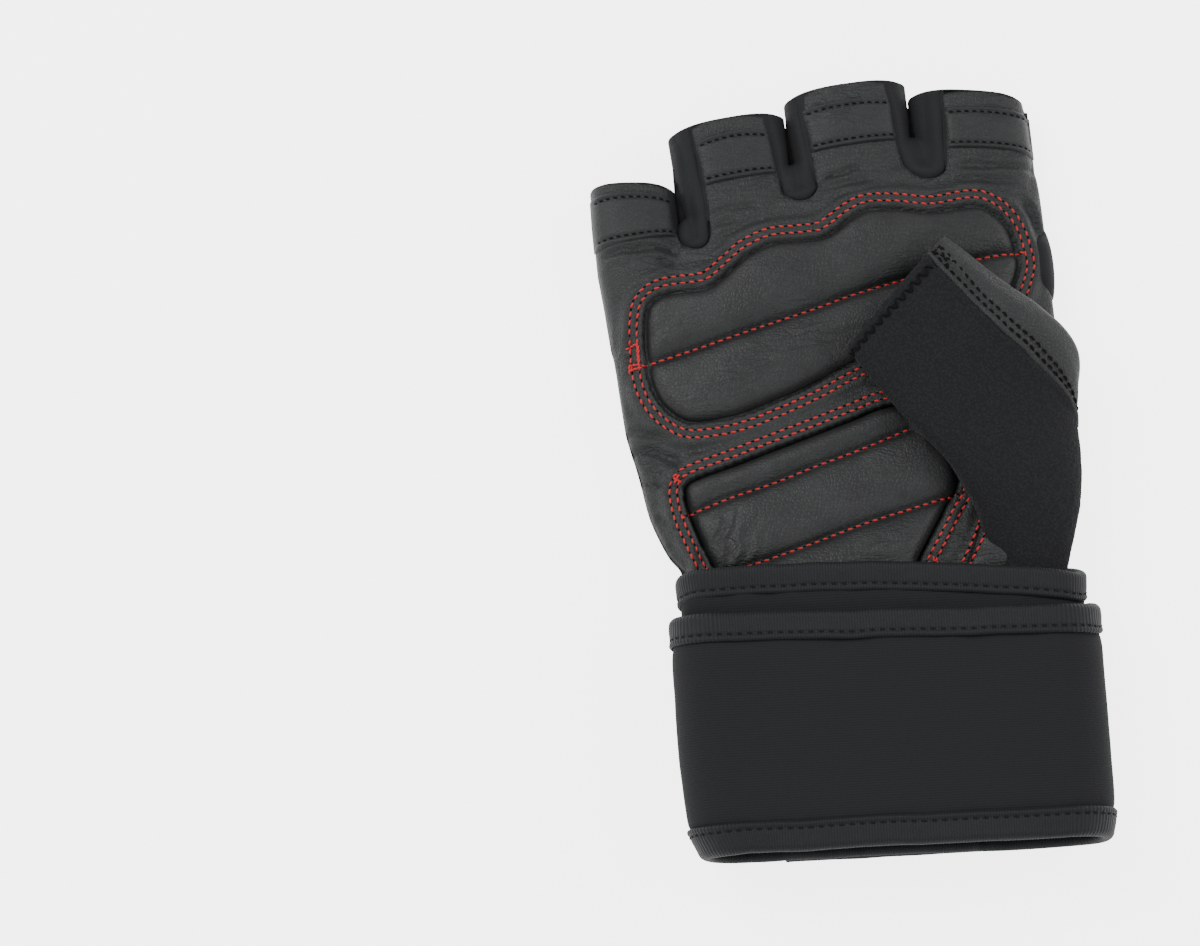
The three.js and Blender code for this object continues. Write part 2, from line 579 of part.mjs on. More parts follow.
addPiece(hand, 'palm_leather', handPanels.intersect(aboveSeam(0)), leather);
addPiece(hand, 'back_panel', handPanels.subtract(aboveSeam(CLEARANCE)), spandex);
for (const [left, right] of pairs) {
  addPiece(hand, `gusset_${left.finger}_${right.finger}`, handShell.intersect(gussetPrism(left, right, 0)), spandex);
}
for (const stub of STUBS) {
  const skin = stubSolid(stub, CLEARANCE + BAND_WALL).subtract(handGrown);
  addPiece(hand, `finger_band_${stub.finger}`, skin.intersect(bandPrism(stub)), leather);
}
const slope = Math.tan(hand.rotation.z) * PALM_WIDTH;
const edgeY = CUFF_TOP + CLEARANCE;
const cuffLine = [[-PALM_WIDTH, edgeY + slope], [PALM_WIDTH, edgeY - slope]];
const beyondCuff = prism([...cuffLine, [PALM_WIDTH, FAR], [-PALM_WIDTH, FAR]], 0, FAR);
for (const pad of PADS) {
  addPiece(hand, pad.name, padSolid(pad).subtract(handGrown).subtract(thumbGrown).intersect(beyondCuff), leather);
}
addPiece(hand, 'thumb_leather', thumbShell.intersect(thumbLeatherSide(0)), leather);
addPiece(hand, 'thumb_towelling', thumbShell.subtract(thumbLeatherSide(CLEARANCE)), spandex);

const cuffSection = bandSection(CUFF_WALL, { y: CUFF_TUCK, taped: false }, { y: CUFF_TOP, taped: true });
addPiece(wrist, 'inner_cuff', bandSolid(cuffSection, cuffPlaces, onLoop, false), neoprene);
addPiece(wrist, 'inner_cuff_binding', bandSolid(tapeSection(CUFF_WALL, CUFF_TOP, -1), cuffPlaces, onLoop, false), tape);
const strapSection = bandSection(STRAP_WALL, { y: 0, taped: true }, { y: STRAP_WIDTH, taped: true });
addPiece(wrist, 'wrist_strap', bandSolid(strapSection, strapPlaces, strapOffset, true), neoprene);
const strapTapes = [['strap_top_binding', STRAP_WIDTH, -1], ['strap_bottom_binding', 0, 1]];
for (const [name, edge, facing] of strapTapes) {
  addPiece(wrist, name, bandSolid(tapeSection(STRAP_WALL, edge, facing), strapPlaces, strapOffset, true), tape);
}

const closureX = (STRAP_START - STRAP_END) / 2;
const closureLength = STRAP_START + STRAP_END - 4 * CLEARANCE;
const closureZ = LOOP_FLOOR - (STRAP_INNER + STRAP_OUTER) / 2;
const closure = new THREE.Mesh(
  new THREE.BoxGeometry(closureLength, CLOSURE_WIDTH, CLOSURE_WALL),
  new THREE.MeshStandardMaterial({ color: 0x1c1e20, roughness: 0.9, metalness: 0 }),
);
closure.name = 'strap_closure';
closure.position.set(closureX, STRAP_WIDTH / 2, closureZ);
wrist.add(closure);

// The origin is under the middle of the whole glove
const bounds = new THREE.Box3().setFromObject(glove);
const centre = bounds.getCenter(new THREE.Vector3());
glove.position.set(-centre.x, -centre.y, -bounds.min.z);

export default glove;
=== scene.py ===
import collections
import math

import bpy
import numpy as np
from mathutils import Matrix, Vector


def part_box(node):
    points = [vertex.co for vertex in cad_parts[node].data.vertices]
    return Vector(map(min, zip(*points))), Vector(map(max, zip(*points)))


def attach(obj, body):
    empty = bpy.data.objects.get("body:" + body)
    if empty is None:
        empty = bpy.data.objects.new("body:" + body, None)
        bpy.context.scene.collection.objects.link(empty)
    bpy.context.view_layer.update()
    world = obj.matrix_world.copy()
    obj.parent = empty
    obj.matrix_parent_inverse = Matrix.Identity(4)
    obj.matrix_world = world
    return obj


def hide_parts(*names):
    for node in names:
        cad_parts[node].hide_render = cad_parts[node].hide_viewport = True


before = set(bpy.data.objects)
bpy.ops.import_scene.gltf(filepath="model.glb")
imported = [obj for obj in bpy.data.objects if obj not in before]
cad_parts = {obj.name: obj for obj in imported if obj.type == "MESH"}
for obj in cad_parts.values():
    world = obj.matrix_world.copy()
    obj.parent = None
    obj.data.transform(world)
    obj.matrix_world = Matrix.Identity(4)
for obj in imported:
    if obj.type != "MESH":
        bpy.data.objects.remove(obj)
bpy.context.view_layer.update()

# The camera, at the photograph's angle
# Sizes in this script are the glove's own millimetres, from the middle of the strap's lower edge. The
# closure patch gives their place in the frame, and the hand leans a little on the wrist.
patch_low, patch_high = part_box("strap_closure")
glove_origin = np.array([
    (patch_low.x + patch_high.x) * 500 + 3.0,
    (patch_low.y + patch_high.y) * 500 - 28.5,
    0.0,
])
hand_lean = math.radians(2.3)
cuff_top = 66.0


def wrist_place(points):
    return (np.asarray(points, float) + glove_origin) / 1000


def hand_place(points):
    points = np.asarray(points, float)
    x, y, z = points[..., 0], points[..., 1] - cuff_top, points[..., 2]
    turned_x = x * math.cos(hand_lean) - y * math.sin(hand_lean)
    turned_y = x * math.sin(hand_lean) + y * math.cos(hand_lean) + cuff_top
    return wrist_place(np.stack([turned_x, turned_y, z], -1))


looked_at = Vector(wrist_place([-65.5, 97.45, 0.0]))
azimuth, elevation = math.radians(-3.0), math.radians(78.0)
sight = Vector((
    -math.sin(azimuth) * math.cos(elevation),
    math.cos(azimuth) * math.cos(elevation),
    -math.sin(elevation),
))
camera = bpy.data.objects.new("camera", bpy.data.cameras.new("camera"))
camera.data.lens = 110.2
camera.data.sensor_width = 36.0
camera.location = looked_at - sight * 0.9
camera.rotation_euler = sight.to_track_quat("-Z", "Y").to_euler()
bpy.context.scene.collection.objects.link(camera)
bpy.context.scene.camera = camera

# The floor and the light
# A plain pale table under soft studio light: a wide panel over the glove from the upper left, a weaker one
# on the right and a low one at the finger end, with a pale surround. The table glows a little more towards
# the camera than on the glove, for the photograph's white ground.
floor_paint = bpy.data.materials.new("floor_paint")
floor_paint.use_nodes = True
floor_tree = floor_paint.node_tree
floor_shader = floor_tree.nodes["Principled BSDF"]
floor_shader.inputs["Base Color"].default_value = (0.86, 0.86, 0.86, 1)
floor_shader.inputs["Roughness"].default_value = 0.8
floor_shader.inputs["Emission Color"].default_value = (1, 1, 1, 1)
floor_glow, camera_glow = 1.2, 2.6
ray_kind = floor_tree.nodes.new("ShaderNodeLightPath")
glow = floor_tree.nodes.new("ShaderNodeMath")
glow.operation = "MULTIPLY_ADD"
glow.inputs[1].default_value = camera_glow
glow.inputs[2].default_value = floor_glow
floor_tree.links.new(ray_kind.outputs["Is Camera Ray"], glow.inputs[0])
floor_tree.links.new(glow.outputs[0], floor_shader.inputs["Emission Strength"])
bpy.ops.mesh.primitive_plane_add(size=6, location=(0, 0, 0))
floor = bpy.context.object
floor.name = "floor"
floor.data.materials.append(floor_paint)

studio = bpy.data.worlds.new("studio")
studio.use_nodes = True
surround = studio.node_tree.nodes["Background"].inputs
surround["Color"].default_value = (1, 1, 1, 1)
surround["Strength"].default_value = 0.62
bpy.context.scene.world = studio
panels = [
    # name, place in metres, size, watts
    ("panel_upper_left", (-0.75, 0.55, 1.1), 0.9, 17),
    ("panel_right", (0.95, 0.15, 0.8), 0.7, 7),
    ("panel_low", (-0.2, -1.1, 0.9), 0.8, 6),
]
for name, place, size, watts in panels:
    light = bpy.data.lights.new(name, "AREA")
    light.size = size
    light.energy = watts
    panel = bpy.data.objects.new(name, light)
    panel.location = place
    panel.rotation_euler = (Vector((0, 0, 0.02)) - Vector(place)).to_track_quat("-Z", "Y").to_euler()
    bpy.context.scene.collection.objects.link(panel)

# The palm leather
# One front of thin black goat leather from the cuff to the four finger tips, with U-shaped cuts between the
# fingers. It is double-stitched in red round two padded windows, and its lip stands up round them.
roundness = 2.7
palm_width, palm_reach, palm_middle = 109.0, 102.4, 8.15
wrist_half, wrist_middle, wrist_rise = 44.9, 14.6, 4.65
knuckle_drop, knuckle_peak = 13.7, 0.35
red_pitch = 2.2
palm_rows = np.array([
    # along, palm, left, right, thick
    [0.00, 0.00, 0.500, 0.450, 1.00],
    [0.02, 0.02, 0.500, 0.450, 1.00],
    [0.12, 0.45, 0.510, 0.450, 1.00],
    [0.25, 0.75, 0.514, 0.454, 1.00],
    [0.40, 0.93, 0.512, 0.457, 1.00],
    [0.55, 1.00, 0.525, 0.459, 1.00],
    [0.74, 1.00, 0.533, 0.460, 0.99],
    [0.90, 1.00, 0.540, 0.460, 0.94],
    [0.97, 1.00, 0.540, 0.458, 0.86],
    [1.00, 1.00, 0.538, 0.454, 0.66],
])
Stub = collections.namedtuple("Stub", "root_x root_y tip_x tip_y root_width tip_width slope")
finger_stubs = [
    Stub(-50.1, 147.4, -49.9, 168.0, 21.4, 20.7, -0.09),
    Stub(-24.5, 162.4, -25.3, 182.4, 28.1, 28.9, 0.09),
    Stub(5.1, 168.0, 4.8, 188.4, 29.9, 30.1, 0.06),
    Stub(35.3, 166.4, 34.4, 184.0, 28.4, 27.8, -0.14),
]
stub_middle = stub_rise = 7.7
stub_sizes = [-0.9, 0, 0.6], [0.78, 0.96, 1.0]


def flowing(values, at):
    """Smooth curve through a table's rows, at fractional row numbers."""
    values = np.asarray(values, float)
    last = len(values) - 1
    at = np.clip(at, 0, last)
    low = np.minimum(np.floor(at).astype(int), last - 1)
    t = (at - low)[..., None] if values.ndim > 1 else at - low
    a, b = values[np.maximum(low - 1, 0)], values[low]
    c, d = values[low + 1], values[np.minimum(low + 2, last)]
    return b + 0.5 * t * (c - a + t * (2 * a - 5 * b + 4 * c - d + t * (3 * (b - c) + d - a)))


def eased(low, high, value):
    t = np.clip((value - low) / (high - low), 0, 1)
    return t * t * (3 - 2 * t)


def hill(value, at, width):
    """Bell curve of height 1 about a value."""
    return np.exp(-(((value - at) / width) ** 2))


def squared(value, power):
    """Sine or cosine of a rounded rectangle instead of a circle."""
    return np.sign(value) * np.abs(value) ** (2 / power)


def higher(a, b, soft):
    """The higher of two heights, with a rounded valley between them."""
    near = np.maximum(soft - np.abs(a - b), 0) / soft
    return np.maximum(a, b) + near * near * soft / 4


def tube_height(off):
    """Share of a flattened tube's rise at this share of its half width; it falls away steeply beyond it."""
    inside = np.clip(1 - np.abs(off) ** roundness, 0, None) ** (1 / roundness)
    return inside - np.clip(np.abs(off) - 1, 0, 1) * 3


def knuckle_line(x):
    return cuff_top + palm_reach - knuckle_drop * (x / (palm_width / 2) - knuckle_peak) ** 2


def palm_share(x, y):
    """How far from the cuff to the knuckles a place in plan lies."""
    return (y - cuff_top) / (knuckle_line(x) - cuff_top)


def palm_section(along):
    """Left and right edge, height of the middle and rise over it, at a share of the palm's length."""
    row = flowing(palm_rows, np.interp(along, palm_rows[:, 0], np.arange(len(palm_rows))))
    palm = np.clip(row[..., 1], 0, 1)
    left = -(wrist_half * (1 - palm) + row[..., 2] * palm_width * palm)
    right = wrist_half * (1 - palm) + row[..., 3] * palm_width * palm
    middle = wrist_middle * (1 - palm) + palm_middle * palm
    rise = wrist_rise * (1 - palm) + palm_middle * row[..., 4] * palm
    return left, right, middle, rise


def on_stub(stub, y):
    """Share of a stub's length at a height in plan, and the middle, relative size and half width there."""
    share = (y - stub.root_y) / (stub.tip_y - stub.root_y)
    centre = stub.root_x + (stub.tip_x - stub.root_x) * share
    size = np.interp(share, *stub_sizes)
    half = size * (stub.root_width + (stub.tip_width - stub.root_width) * np.clip(share, 0, 1)) / 2
    return share, centre, size, half


def hand_height(x, y, side):
    """Height of the hand's top (side 1) or underside (side -1) over a place in plan."""
    along = palm_share(x, y)
    left, right, middle, rise = palm_section(np.clip(along, 0, 1))
    rise = rise * np.sqrt(np.clip(1 - (np.clip(along - 1, 0, 1) / 0.07) ** 2, 0, 1))
    height = side * middle + rise * tube_height((2 * x - left - right) / (right - left))
    for stub in finger_stubs:
        share, centre, size, half = on_stub(stub, y)
        grown = eased(-1.6, -0.7, share)
        tube = side * stub_middle + stub_rise * size * grown * tube_height((x - centre) / half)
        height = higher(height, tube - 9 * (1 - grown), 1.6)
    return height * side


def hand_edges(y):
    """Left and right edges of the hand at a height in plan."""
    edges = []
    for side, stub, at in ((-1, finger_stubs[0], -58.0), (1, finger_stubs[3], 50.0)):
        palm = palm_section(np.clip(palm_share(at, y), 0, 1))[0 if side < 0 else 1]
        share, centre, size, half = on_stub(stub, y)
        tube = side * (centre + side * half) - 12 * (1 - eased(-1.6, -0.9, share))
        edges.append(side * higher(side * palm - 40 * (share > 0.9), tube, 1.0))
    return edges


def line_distance(x, y, line, closed=False):
    """Distance to a line of points, length along it, and whether a place lies inside a closed one."""
    line = np.asarray(line, float)
    ends = np.roll(line, -1, 0) if closed else line[1:]
    starts = line if closed else line[:-1]
    best = np.full(x.shape, 1e9)
    length = np.zeros(x.shape)
    inside = np.zeros(x.shape, bool)
    run = 0.0
    for (ax, ay), (bx, by) in zip(starts, ends):
        step = math.hypot(bx - ax, by - ay)
        t = np.clip(((x - ax) * (bx - ax) + (y - ay) * (by - ay)) / (step * step), 0, 1)
        away = np.hypot(x - ax - t * (bx - ax), y - ay - t * (by - ay))
        closer = away < best
        best = np.where(closer, away, best)
        length = np.where(closer, run + t * step, length)
        run += step
        if closed and ay != by:
            crosses = (ay > y) != (by > y)
            inside ^= crosses & (x < (bx - ax) * (y - ay) / (by - ay) + ax)
    return best, length, inside


def rounded(points, closed=False, step=0.8):
    """Smooth curve through points in plan, with even steps along it."""
    points = np.asarray(points, float)
    if closed:
        points = np.concatenate([points[-2:], points, points[:3]])
    ends = (2, len(points) - 3) if closed else (0, len(points) - 1)
    fine = flowing(points, np.linspace(*ends, 24 * len(points)))
    run = np.concatenate([[0], np.cumsum(np.hypot(*np.diff(fine, axis=0).T))])
    marks = np.linspace(0, run[-1], max(3, int(run[-1] / step)) + 1)
    even = np.stack([np.interp(marks, run, fine[:, 0]), np.interp(marks, run, fine[:, 1])], 1)
    return even[:-1] if closed else even


def crumple(x, y, size, seed):
    """Soft random hills from -1 to 1, about size millimetres apart."""
    lattice = np.random.default_rng(seed).uniform(-1, 1, (96, 96))
    u, v = x / size + 31.7, y / size + 17.3
    i, j = np.floor(u).astype(int), np.floor(v).astype(int)
    s, t = u - i, v - j
    s, t = s * s * (3 - 2 * s), t * t * (3 - 2 * t)
    i, j, k, m = i % 96, j % 96, (i + 1) % 96, (j + 1) % 96
    near = lattice[i, j] * (1 - s) + lattice[k, j] * s
    far = lattice[i, m] * (1 - s) + lattice[k, m] * s
    return near * (1 - t) + far * t


# Outlines of the two padded windows, where the pads' rolled edges stand highest
upper_window = rounded([
    (-50.5, 129.7), (-50.5, 119.7), (-48.6, 113.4), (-44.7, 108.8), (-40.0, 106.9), (-30.3, 107.5),
    (-20.4, 110.2), (-10.4, 113.9), (-2.7, 117.3), (15, 123.9), (29.4, 125.9), (37.5, 130.1), (41.9, 138.2),
    (41.9, 143.0), (40.6, 148.4), (38.0, 152.1), (34.3, 154.6), (30.1, 154.9), (22.0, 154.2), (13.6, 155.7),
    (6.8, 156.1), (2.5, 154.5), (-2.0, 151.6), (-5.3, 150.1), (-11.4, 149.9), (-17.5, 149.8), (-23.3, 147.7),
    (-27.0, 145.1), (-31.8, 141.5), (-35.5, 140.1), (-44.6, 139.8), (-48.7, 137.5), (-49.9, 134.5),
], closed=True)
lower_window = rounded([
    (-37.5, 62.5), (-38.8, 68.9), (-41.2, 75.7), (-43.9, 84.2), (-44.6, 89.6), (-43.9, 92.0), (-41.4, 93.2),
    (-31.5, 95.7), (-21.6, 98.5), (-11.7, 101.3), (-1.7, 104.3), (4.5, 106.2), (11.4, 106.4), (17.4, 102.4),
    (20.7, 93.7), (20.5, 85.5), (17.4, 80.7), (13.2, 74.2), (9.1, 67.8), (6.5, 62.5),
], closed=True)
pad_channels = [[rounded(line) for line in lines] for lines in (
    [[(-52.3, 122.2), (-38.2, 125.1), (-23.3, 128.7), (-8.3, 132.3), (2.4, 135.1), (32.1, 141.1),
      (44.5, 142.2)]],
    [[(-46.6, 83.6), (-35.5, 87.0), (-23.9, 89.8), (-12.5, 93.2), (0.0, 96.7), (10.7, 100.2)],
     [(-36.0, 69.0), (-24.3, 71.8), (-14.4, 74.5), (-2.1, 78.0), (10.3, 80.8), (20.9, 83.2)]],
    [],
)]
row_gaps = (1.9, 3.7)
hand_low, hand_high = 57.0, 191.0
little_cut = [
    (-40.6, 175.0), (-40.4, 162.0), (-40.2, 156.0), (-39.4, 152.6), (-37.0, 150.7), (-34.6, 150.5),
    (-32.8, 151.8), (-32.0, 154.4), (-32.0, 161.5), (-32.8, 170.5), (-34.2, 184.5),
]
ring_cut = [
    (-16.7, 186.0), (-14.7, 174.0), (-13.9, 165.6), (-13.2, 162.2), (-11.2, 160.6), (-9.0, 160.1),
    (-6.9, 160.6), (-5.2, 162.3), (-4.7, 164.5), (-5.6, 173.1), (-7.3, 191.0),
]
middle_cut = [
    (14.0, 191.5), (15.3, 181.5), (16.1, 171.6), (16.9, 167.6), (19.2, 164.3), (22.6, 162.9),
    (25.8, 163.7), (27.4, 166.2), (28.1, 175.1), (28.5, 187.5),
]


def tip_line(stub, x, back=0.0, off=None):
    """Height in plan of a finger's open end over x, a little rounded at its corners."""
    if off is None:
        off = np.clip(np.abs(x - stub.tip_x) / (stub.tip_width / 2), 0, 1)
    return stub.tip_y - back + (x - stub.tip_x) * stub.slope + 0.5 - 1.3 * off ** 3


def finger_tip(number, left, right):
    """Edge of a finger's open end in plan, from left to right."""
    x = np.linspace(left, right, 9)
    return list(zip(x, tip_line(finger_stubs[number], x, off=np.abs(np.linspace(-1, 1, 9)))))


def below(line, tip):
    """The part of a cut that lies below the finger tips on its two sides."""
    return [p for p in line if p[1] < tip]


leather_outline = [(-75, 64.0), (-75, 168.6)]
leather_outline += finger_tip(0, -61.5, -40.6)
leather_outline += rounded(below(little_cut, 166.5)[:1] + below(little_cut, 180.5)[1:], step=0.7).tolist()
leather_outline += finger_tip(1, -34.1, -16.3)
leather_outline += rounded(below(ring_cut, 183), step=0.7).tolist()
leather_outline += finger_tip(2, -6.9, 14.3)
leather_outline += rounded(below(middle_cut, 186), step=0.7).tolist()
leather_outline += finger_tip(3, 28.4, 48.2)
leather_outline += [(49.0, 179.4), (70, 179.4), (70, 57.5)]
leather_outline = np.array(leather_outline)


def side_level(x, y):
    """Height of the seam between leather and back cloth down the hand's sides."""
    return palm_section(np.clip(palm_share(x, y), 0, 1))[2]


# The leather stops short of the right edge beside the index finger's root, where the back's cloth shows
roll_y = np.linspace(131.0, 149.0, 25)
roll_edge = hand_edges(roll_y)[1]
roll_share = np.sin(np.linspace(0, math.pi, 25)) ** 0.6
roll_line = np.stack([roll_edge - 2.4 * roll_share + 0.2, roll_y], 1)

creases = [
    # x and y of one end, x and y of the other, depth, width, bow
    (-57.0, 102.0, -44.0, 97.0, 0.9, 1.3, 1.5), (-57.5, 106.5, -47.0, 103.0, 0.7, 1.1, 1.0),
    (-56.0, 96.5, -48.5, 92.5, 0.6, 1.0, -0.8), (-52.0, 86.0, -47.5, 80.0, 0.5, 1.0, 0.6),
    (-49.5, 78.0, -45.0, 71.0, 0.5, 0.9, 0.6), (-58.0, 150.5, -40.5, 150.0, 0.8, 0.8, 1.4),
    (-31.0, 158.5, -20.0, 160.0, 0.5, 0.6, 0.7), (-31.0, 155.5, -24.0, 156.2, 0.4, 0.6, 0.5),
    (-30.0, 152.5, -18.0, 156.5, 0.4, 0.7, 0.6), (-3.5, 165.0, 6.0, 167.0, 0.6, 0.6, 0.7),
    (-3.0, 162.0, 9.0, 164.2, 0.5, 0.7, 0.9), (-1.0, 159.8, 12.0, 162.0, 0.4, 0.7, 0.7),
    (29.0, 161.5, 44.0, 160.0, 0.5, 0.8, 0.9), (30.0, 165.5, 49.0, 163.0, 0.6, 0.8, 0.8),
    (45.5, 156.0, 49.5, 140.0, 1.0, 1.1, 0.8), (-55.5, 118.0, -54.0, 131.0, 0.4, 1.2, 0.5),
    (-52.5, 142.0, -37.0, 145.5, 0.4, 0.8, 0.6), (-36.0, 146.5, -28.0, 149.0, 0.5, 0.7, -0.5),
    (-43.5, 68.0, -41.5, 77.0, 0.7, 0.9, 0.4), (23.0, 80.0, 14.5, 66.5, 0.8, 0.9, -0.5),
    (28.5, 76.0, 21.0, 66.0, 0.8, 1.0, -0.5), (-46.0, 148.5, -41.5, 147.0, 0.6, 0.7, 0.4),
]
wrinkled_zones = [
    # x, y, reach, height, wrinkles apart, turn in degrees
    (-52, 100, 9, 0.34, 2.6, -20), (-24, 157, 8, 0.20, 1.7, 12), (3, 163, 8, 0.24, 1.7, 12),
    (38, 161, 8, 0.18, 1.9, -6), (-49, 82, 8, 0.22, 2.2, 55), (-20, 104, 14, 0.20, 2.4, 17),
    (-48, 148, 8, 0.14, 2.0, 10), (48, 148, 5, 0.25, 2.4, 80), (-56, 128, 8, 0.16, 3.2, 80),
    (20, 72, 9, 0.28, 2.1, 55), (-30, 150, 7, 0.18, 2.0, 20),
]


def leather_folds(x, y):
    """Height of the creases and the fine wrinkles in the palm leather."""
    height = 0.28 * crumple(x, y, 13.0, 3) + 0.10 * crumple(x, y, 5.0, 4)
    for ax, ay, bx, by, depth, width, bow in creases:
        run = math.hypot(bx - ax, by - ay)
        along = ((x - ax) * (bx - ax) + (y - ay) * (by - ay)) / run / run
        off = ((x - ax) * (ay - by) + (y - ay) * (bx - ax)) / run
        off = off - bow * 4 * along * (1 - along) - 0.7 * crumple(x, y, 4.0, 11)
        ends = eased(-0.12, 0.15, along) * (1 - eased(0.85, 1.12, along))
        valley = hill(off, 0, width) - 0.45 * hill(np.abs(off), 2 * width, width)
        height = height - depth * ends * valley
    for cx, cy, reach, rise, apart, turn in wrinkled_zones:
        near = np.exp(-(((x - cx) ** 2 + (y - cy) ** 2) / reach ** 2))
        c, s = math.cos(math.radians(turn)), math.sin(math.radians(turn))
        across = (y - cy) * c - (x - cx) * s + 1.2 * crumple(x, y, 6.0, 21) + 0.5 * crumple(x, y, 2.5, 22)
        length = (x - cx) * c + (y - cy) * s
        broken = 0.5 + 0.5 * crumple(length, across, 5.0, 23)
        ridge = 1 - 2 * np.abs(np.sin(math.pi * across / apart)) ** 0.8
        height = height + rise * near * broken * ridge
    return height


def window_relief(x, y):
    """Lip, groove and sunk stitch rows of the leather round the two windows."""
    relief = np.zeros(x.shape)
    for window in (upper_window, lower_window):
        away, run, inside = line_distance(x, y, window, closed=True)
        out = np.where(inside, -away, away)
        lip = 1.25 * eased(0.0, 0.6, out) * (1 - eased(4.6, 7.2, out))
        lip = lip + 0.25 * hill(out, 0.9, 0.5)
        for gap in row_gaps:
            sunk = 0.75 + 0.25 * np.cos(2 * math.pi * run / red_pitch)
            lip = lip - 0.42 * sunk * hill(out, gap, 0.5)
        pit = -1.5 * (1 - eased(-0.3, 0.5, out))
        relief = np.where(out < 0.5, pit, np.maximum(relief, lip))
    return relief


def leather_height(x, y):
    return hand_height(x, y, 1) + window_relief(x, y) + leather_folds(x, y)


def cut_patch(x, y, z, outline):
    """Faces of a grid that lie inside an outline, with their border drawn onto it."""
    rows, columns = x.shape
    index = np.arange(rows * columns).reshape(rows, columns)
    middle_x = (x[:-1, :-1] + x[1:, 1:]) / 2
    middle_y = (y[:-1, :-1] + y[1:, 1:]) / 2
    kept = line_distance(middle_x, middle_y, outline, closed=True)[2]
    faces = np.stack([index[:-1, :-1], index[:-1, 1:], index[1:, 1:], index[1:, :-1]], -1)[kept]
    used = np.zeros(rows * columns, int)
    np.add.at(used, faces.ravel(), 1)
    full = np.full((rows, columns), 4)
    full[[0, -1], :] = 2
    full[:, [0, -1]] = 2
    full[[0, 0, -1, -1], [0, -1, 0, -1]] = 1
    on_edge = (used > 0) & (used < full.ravel())
    points = np.stack([x.ravel(), y.ravel(), z.ravel()], 1)
    ends = np.roll(outline, -1, 0)
    place = points[on_edge][:, None, :2]
    step = ends - outline
    t = ((place - outline) * step).sum(-1) / np.maximum((step * step).sum(-1), 1e-9)
    foot = outline + np.clip(t, 0, 1)[..., None] * step
    nearest = np.hypot(*(place - foot).transpose(2, 0, 1)).argmin(1)
    points[on_edge, :2] = foot[np.arange(len(nearest)), nearest]
    sides = np.concatenate([faces[:, [0, 1]], faces[:, [1, 2]], faces[:, [2, 3]], faces[:, [3, 0]]])
    unique, counts = np.unique(np.sort(sides, 1), axis=0, return_counts=True)
    single = {tuple(edge) for edge in unique[counts == 1]}
    rim = np.array([edge for edge in sides.tolist() if tuple(sorted(edge)) in single])
    renumber = np.full(len(points), -1)
    taken = np.unique(faces)
    renumber[taken] = np.arange(len(taken))
    points, faces = points[taken], renumber[faces]
    return points, faces, renumber[rim], on_edge[taken]


def with_turned_edge(points, faces, rim, drop):
    """The patch with a short wall down from its edge."""
    low = np.unique(rim)
    number = np.full(len(points), -1)
    number[low] = len(points) + np.arange(len(low))
    lowered = points[low] - [0, 0, drop]
    walls = np.stack([rim[:, 1], rim[:, 0], number[rim[:, 0]], number[rim[:, 1]]], 1)
    return np.concatenate([points, lowered]), np.concatenate([faces, walls])


def hand_grid(step_x, step_y):
    """Grid over the hand in plan, finer towards its left and right edges."""
    y = np.arange(hand_low, hand_high, step_y)
    left, right = hand_edges(y)
    p = np.linspace(-1, 1, int(112 / step_x))
    spread = 0.65 * p + 0.35 * np.sin(p * math.pi / 2)
    x = (left + right)[:, None] / 2 + (right - left)[:, None] / 2 * spread
    return x, np.broadcast_to(y[:, None], x.shape).copy()


def sewn_piece(name, points, faces, finish, stands_for=()):
    """Mesh object from points in metres, riding on the glove."""
    mesh = bpy.data.meshes.new(name)
    mesh.from_pydata(np.asarray(points).tolist(), [], np.asarray(faces).tolist())
    mesh.validate()
    mesh.polygons.foreach_set("use_smooth", np.ones(len(mesh.polygons), bool))
    mesh.materials.append(finish)
    piece = bpy.data.objects.new(name, mesh)
    bpy.context.scene.collection.objects.link(piece)
    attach(piece, "root")
    if stands_for:
        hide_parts(*stands_for)
    return piece


def new_group(name, numbers, colours):
    """Empty node group with named inputs, for a colour, a roughness and a height in millimetres."""
    group = bpy.data.node_groups.new(name, "ShaderNodeTree")
    for kind, labels in (("Float", numbers), ("Color", colours)):
        for label in labels:
            group.interface.new_socket(label, in_out="INPUT", socket_type="NodeSocket" + kind)
    for label, kind in (("Colour", "Color"), ("Roughness", "Float"), ("Height", "Float")):
        group.interface.new_socket(label, in_out="OUTPUT", socket_type="NodeSocket" + kind)
    return group, group.nodes.new("NodeGroupInput").outputs, group.nodes.new("NodeGroupOutput").inputs


def node(tree, kind, links=(), **values):
    """New node with properties by name, input values by input name, and links to its inputs."""
    made = tree.nodes.new(kind)
    for label, value in values.items():
        setattr(made, label, value)
    for label, source in dict(links).items():
        if hasattr(source, "is_output"):
            tree.links.new(source, made.inputs[label])
        else:
            made.inputs[label].default_value = source
    return made


def sums(tree, operation, *values):
    return node(tree, "ShaderNodeMath", dict(enumerate(values)), operation=operation).outputs[0]


def noise(tree, place, scale, **values):
    return node(tree, "ShaderNodeTexNoise", {"Vector": place, "Scale": scale, **values}).outputs["Fac"]


def remapped(tree, value, low, high, new_low=0.0, new_high=1.0):
    """A value's range from low to high, spread over a new one."""
    links = {"Value": value, "From Min": low, "From Max": high, "To Min": new_low, "To Max": new_high}
    return node(tree, "ShaderNodeMapRange", links).outputs["Result"]


def mixed(tree, share, a, b):
    """Mix of two colours."""
    made = node(tree, "ShaderNodeMix", {"Factor": share, "A": a, "B": b}, data_type="RGBA")
    return made.outputs["Result"]


def shaded(tree, colour, shade):
    return node(tree, "ShaderNodeVectorMath", {0: colour, 1: shade}, operation="MULTIPLY").outputs["Vector"]


def give(group, out, colour, roughness, height):
    for label, source in (("Colour", colour), ("Roughness", roughness), ("Height", height)):
        group.links.new(source, out[label])


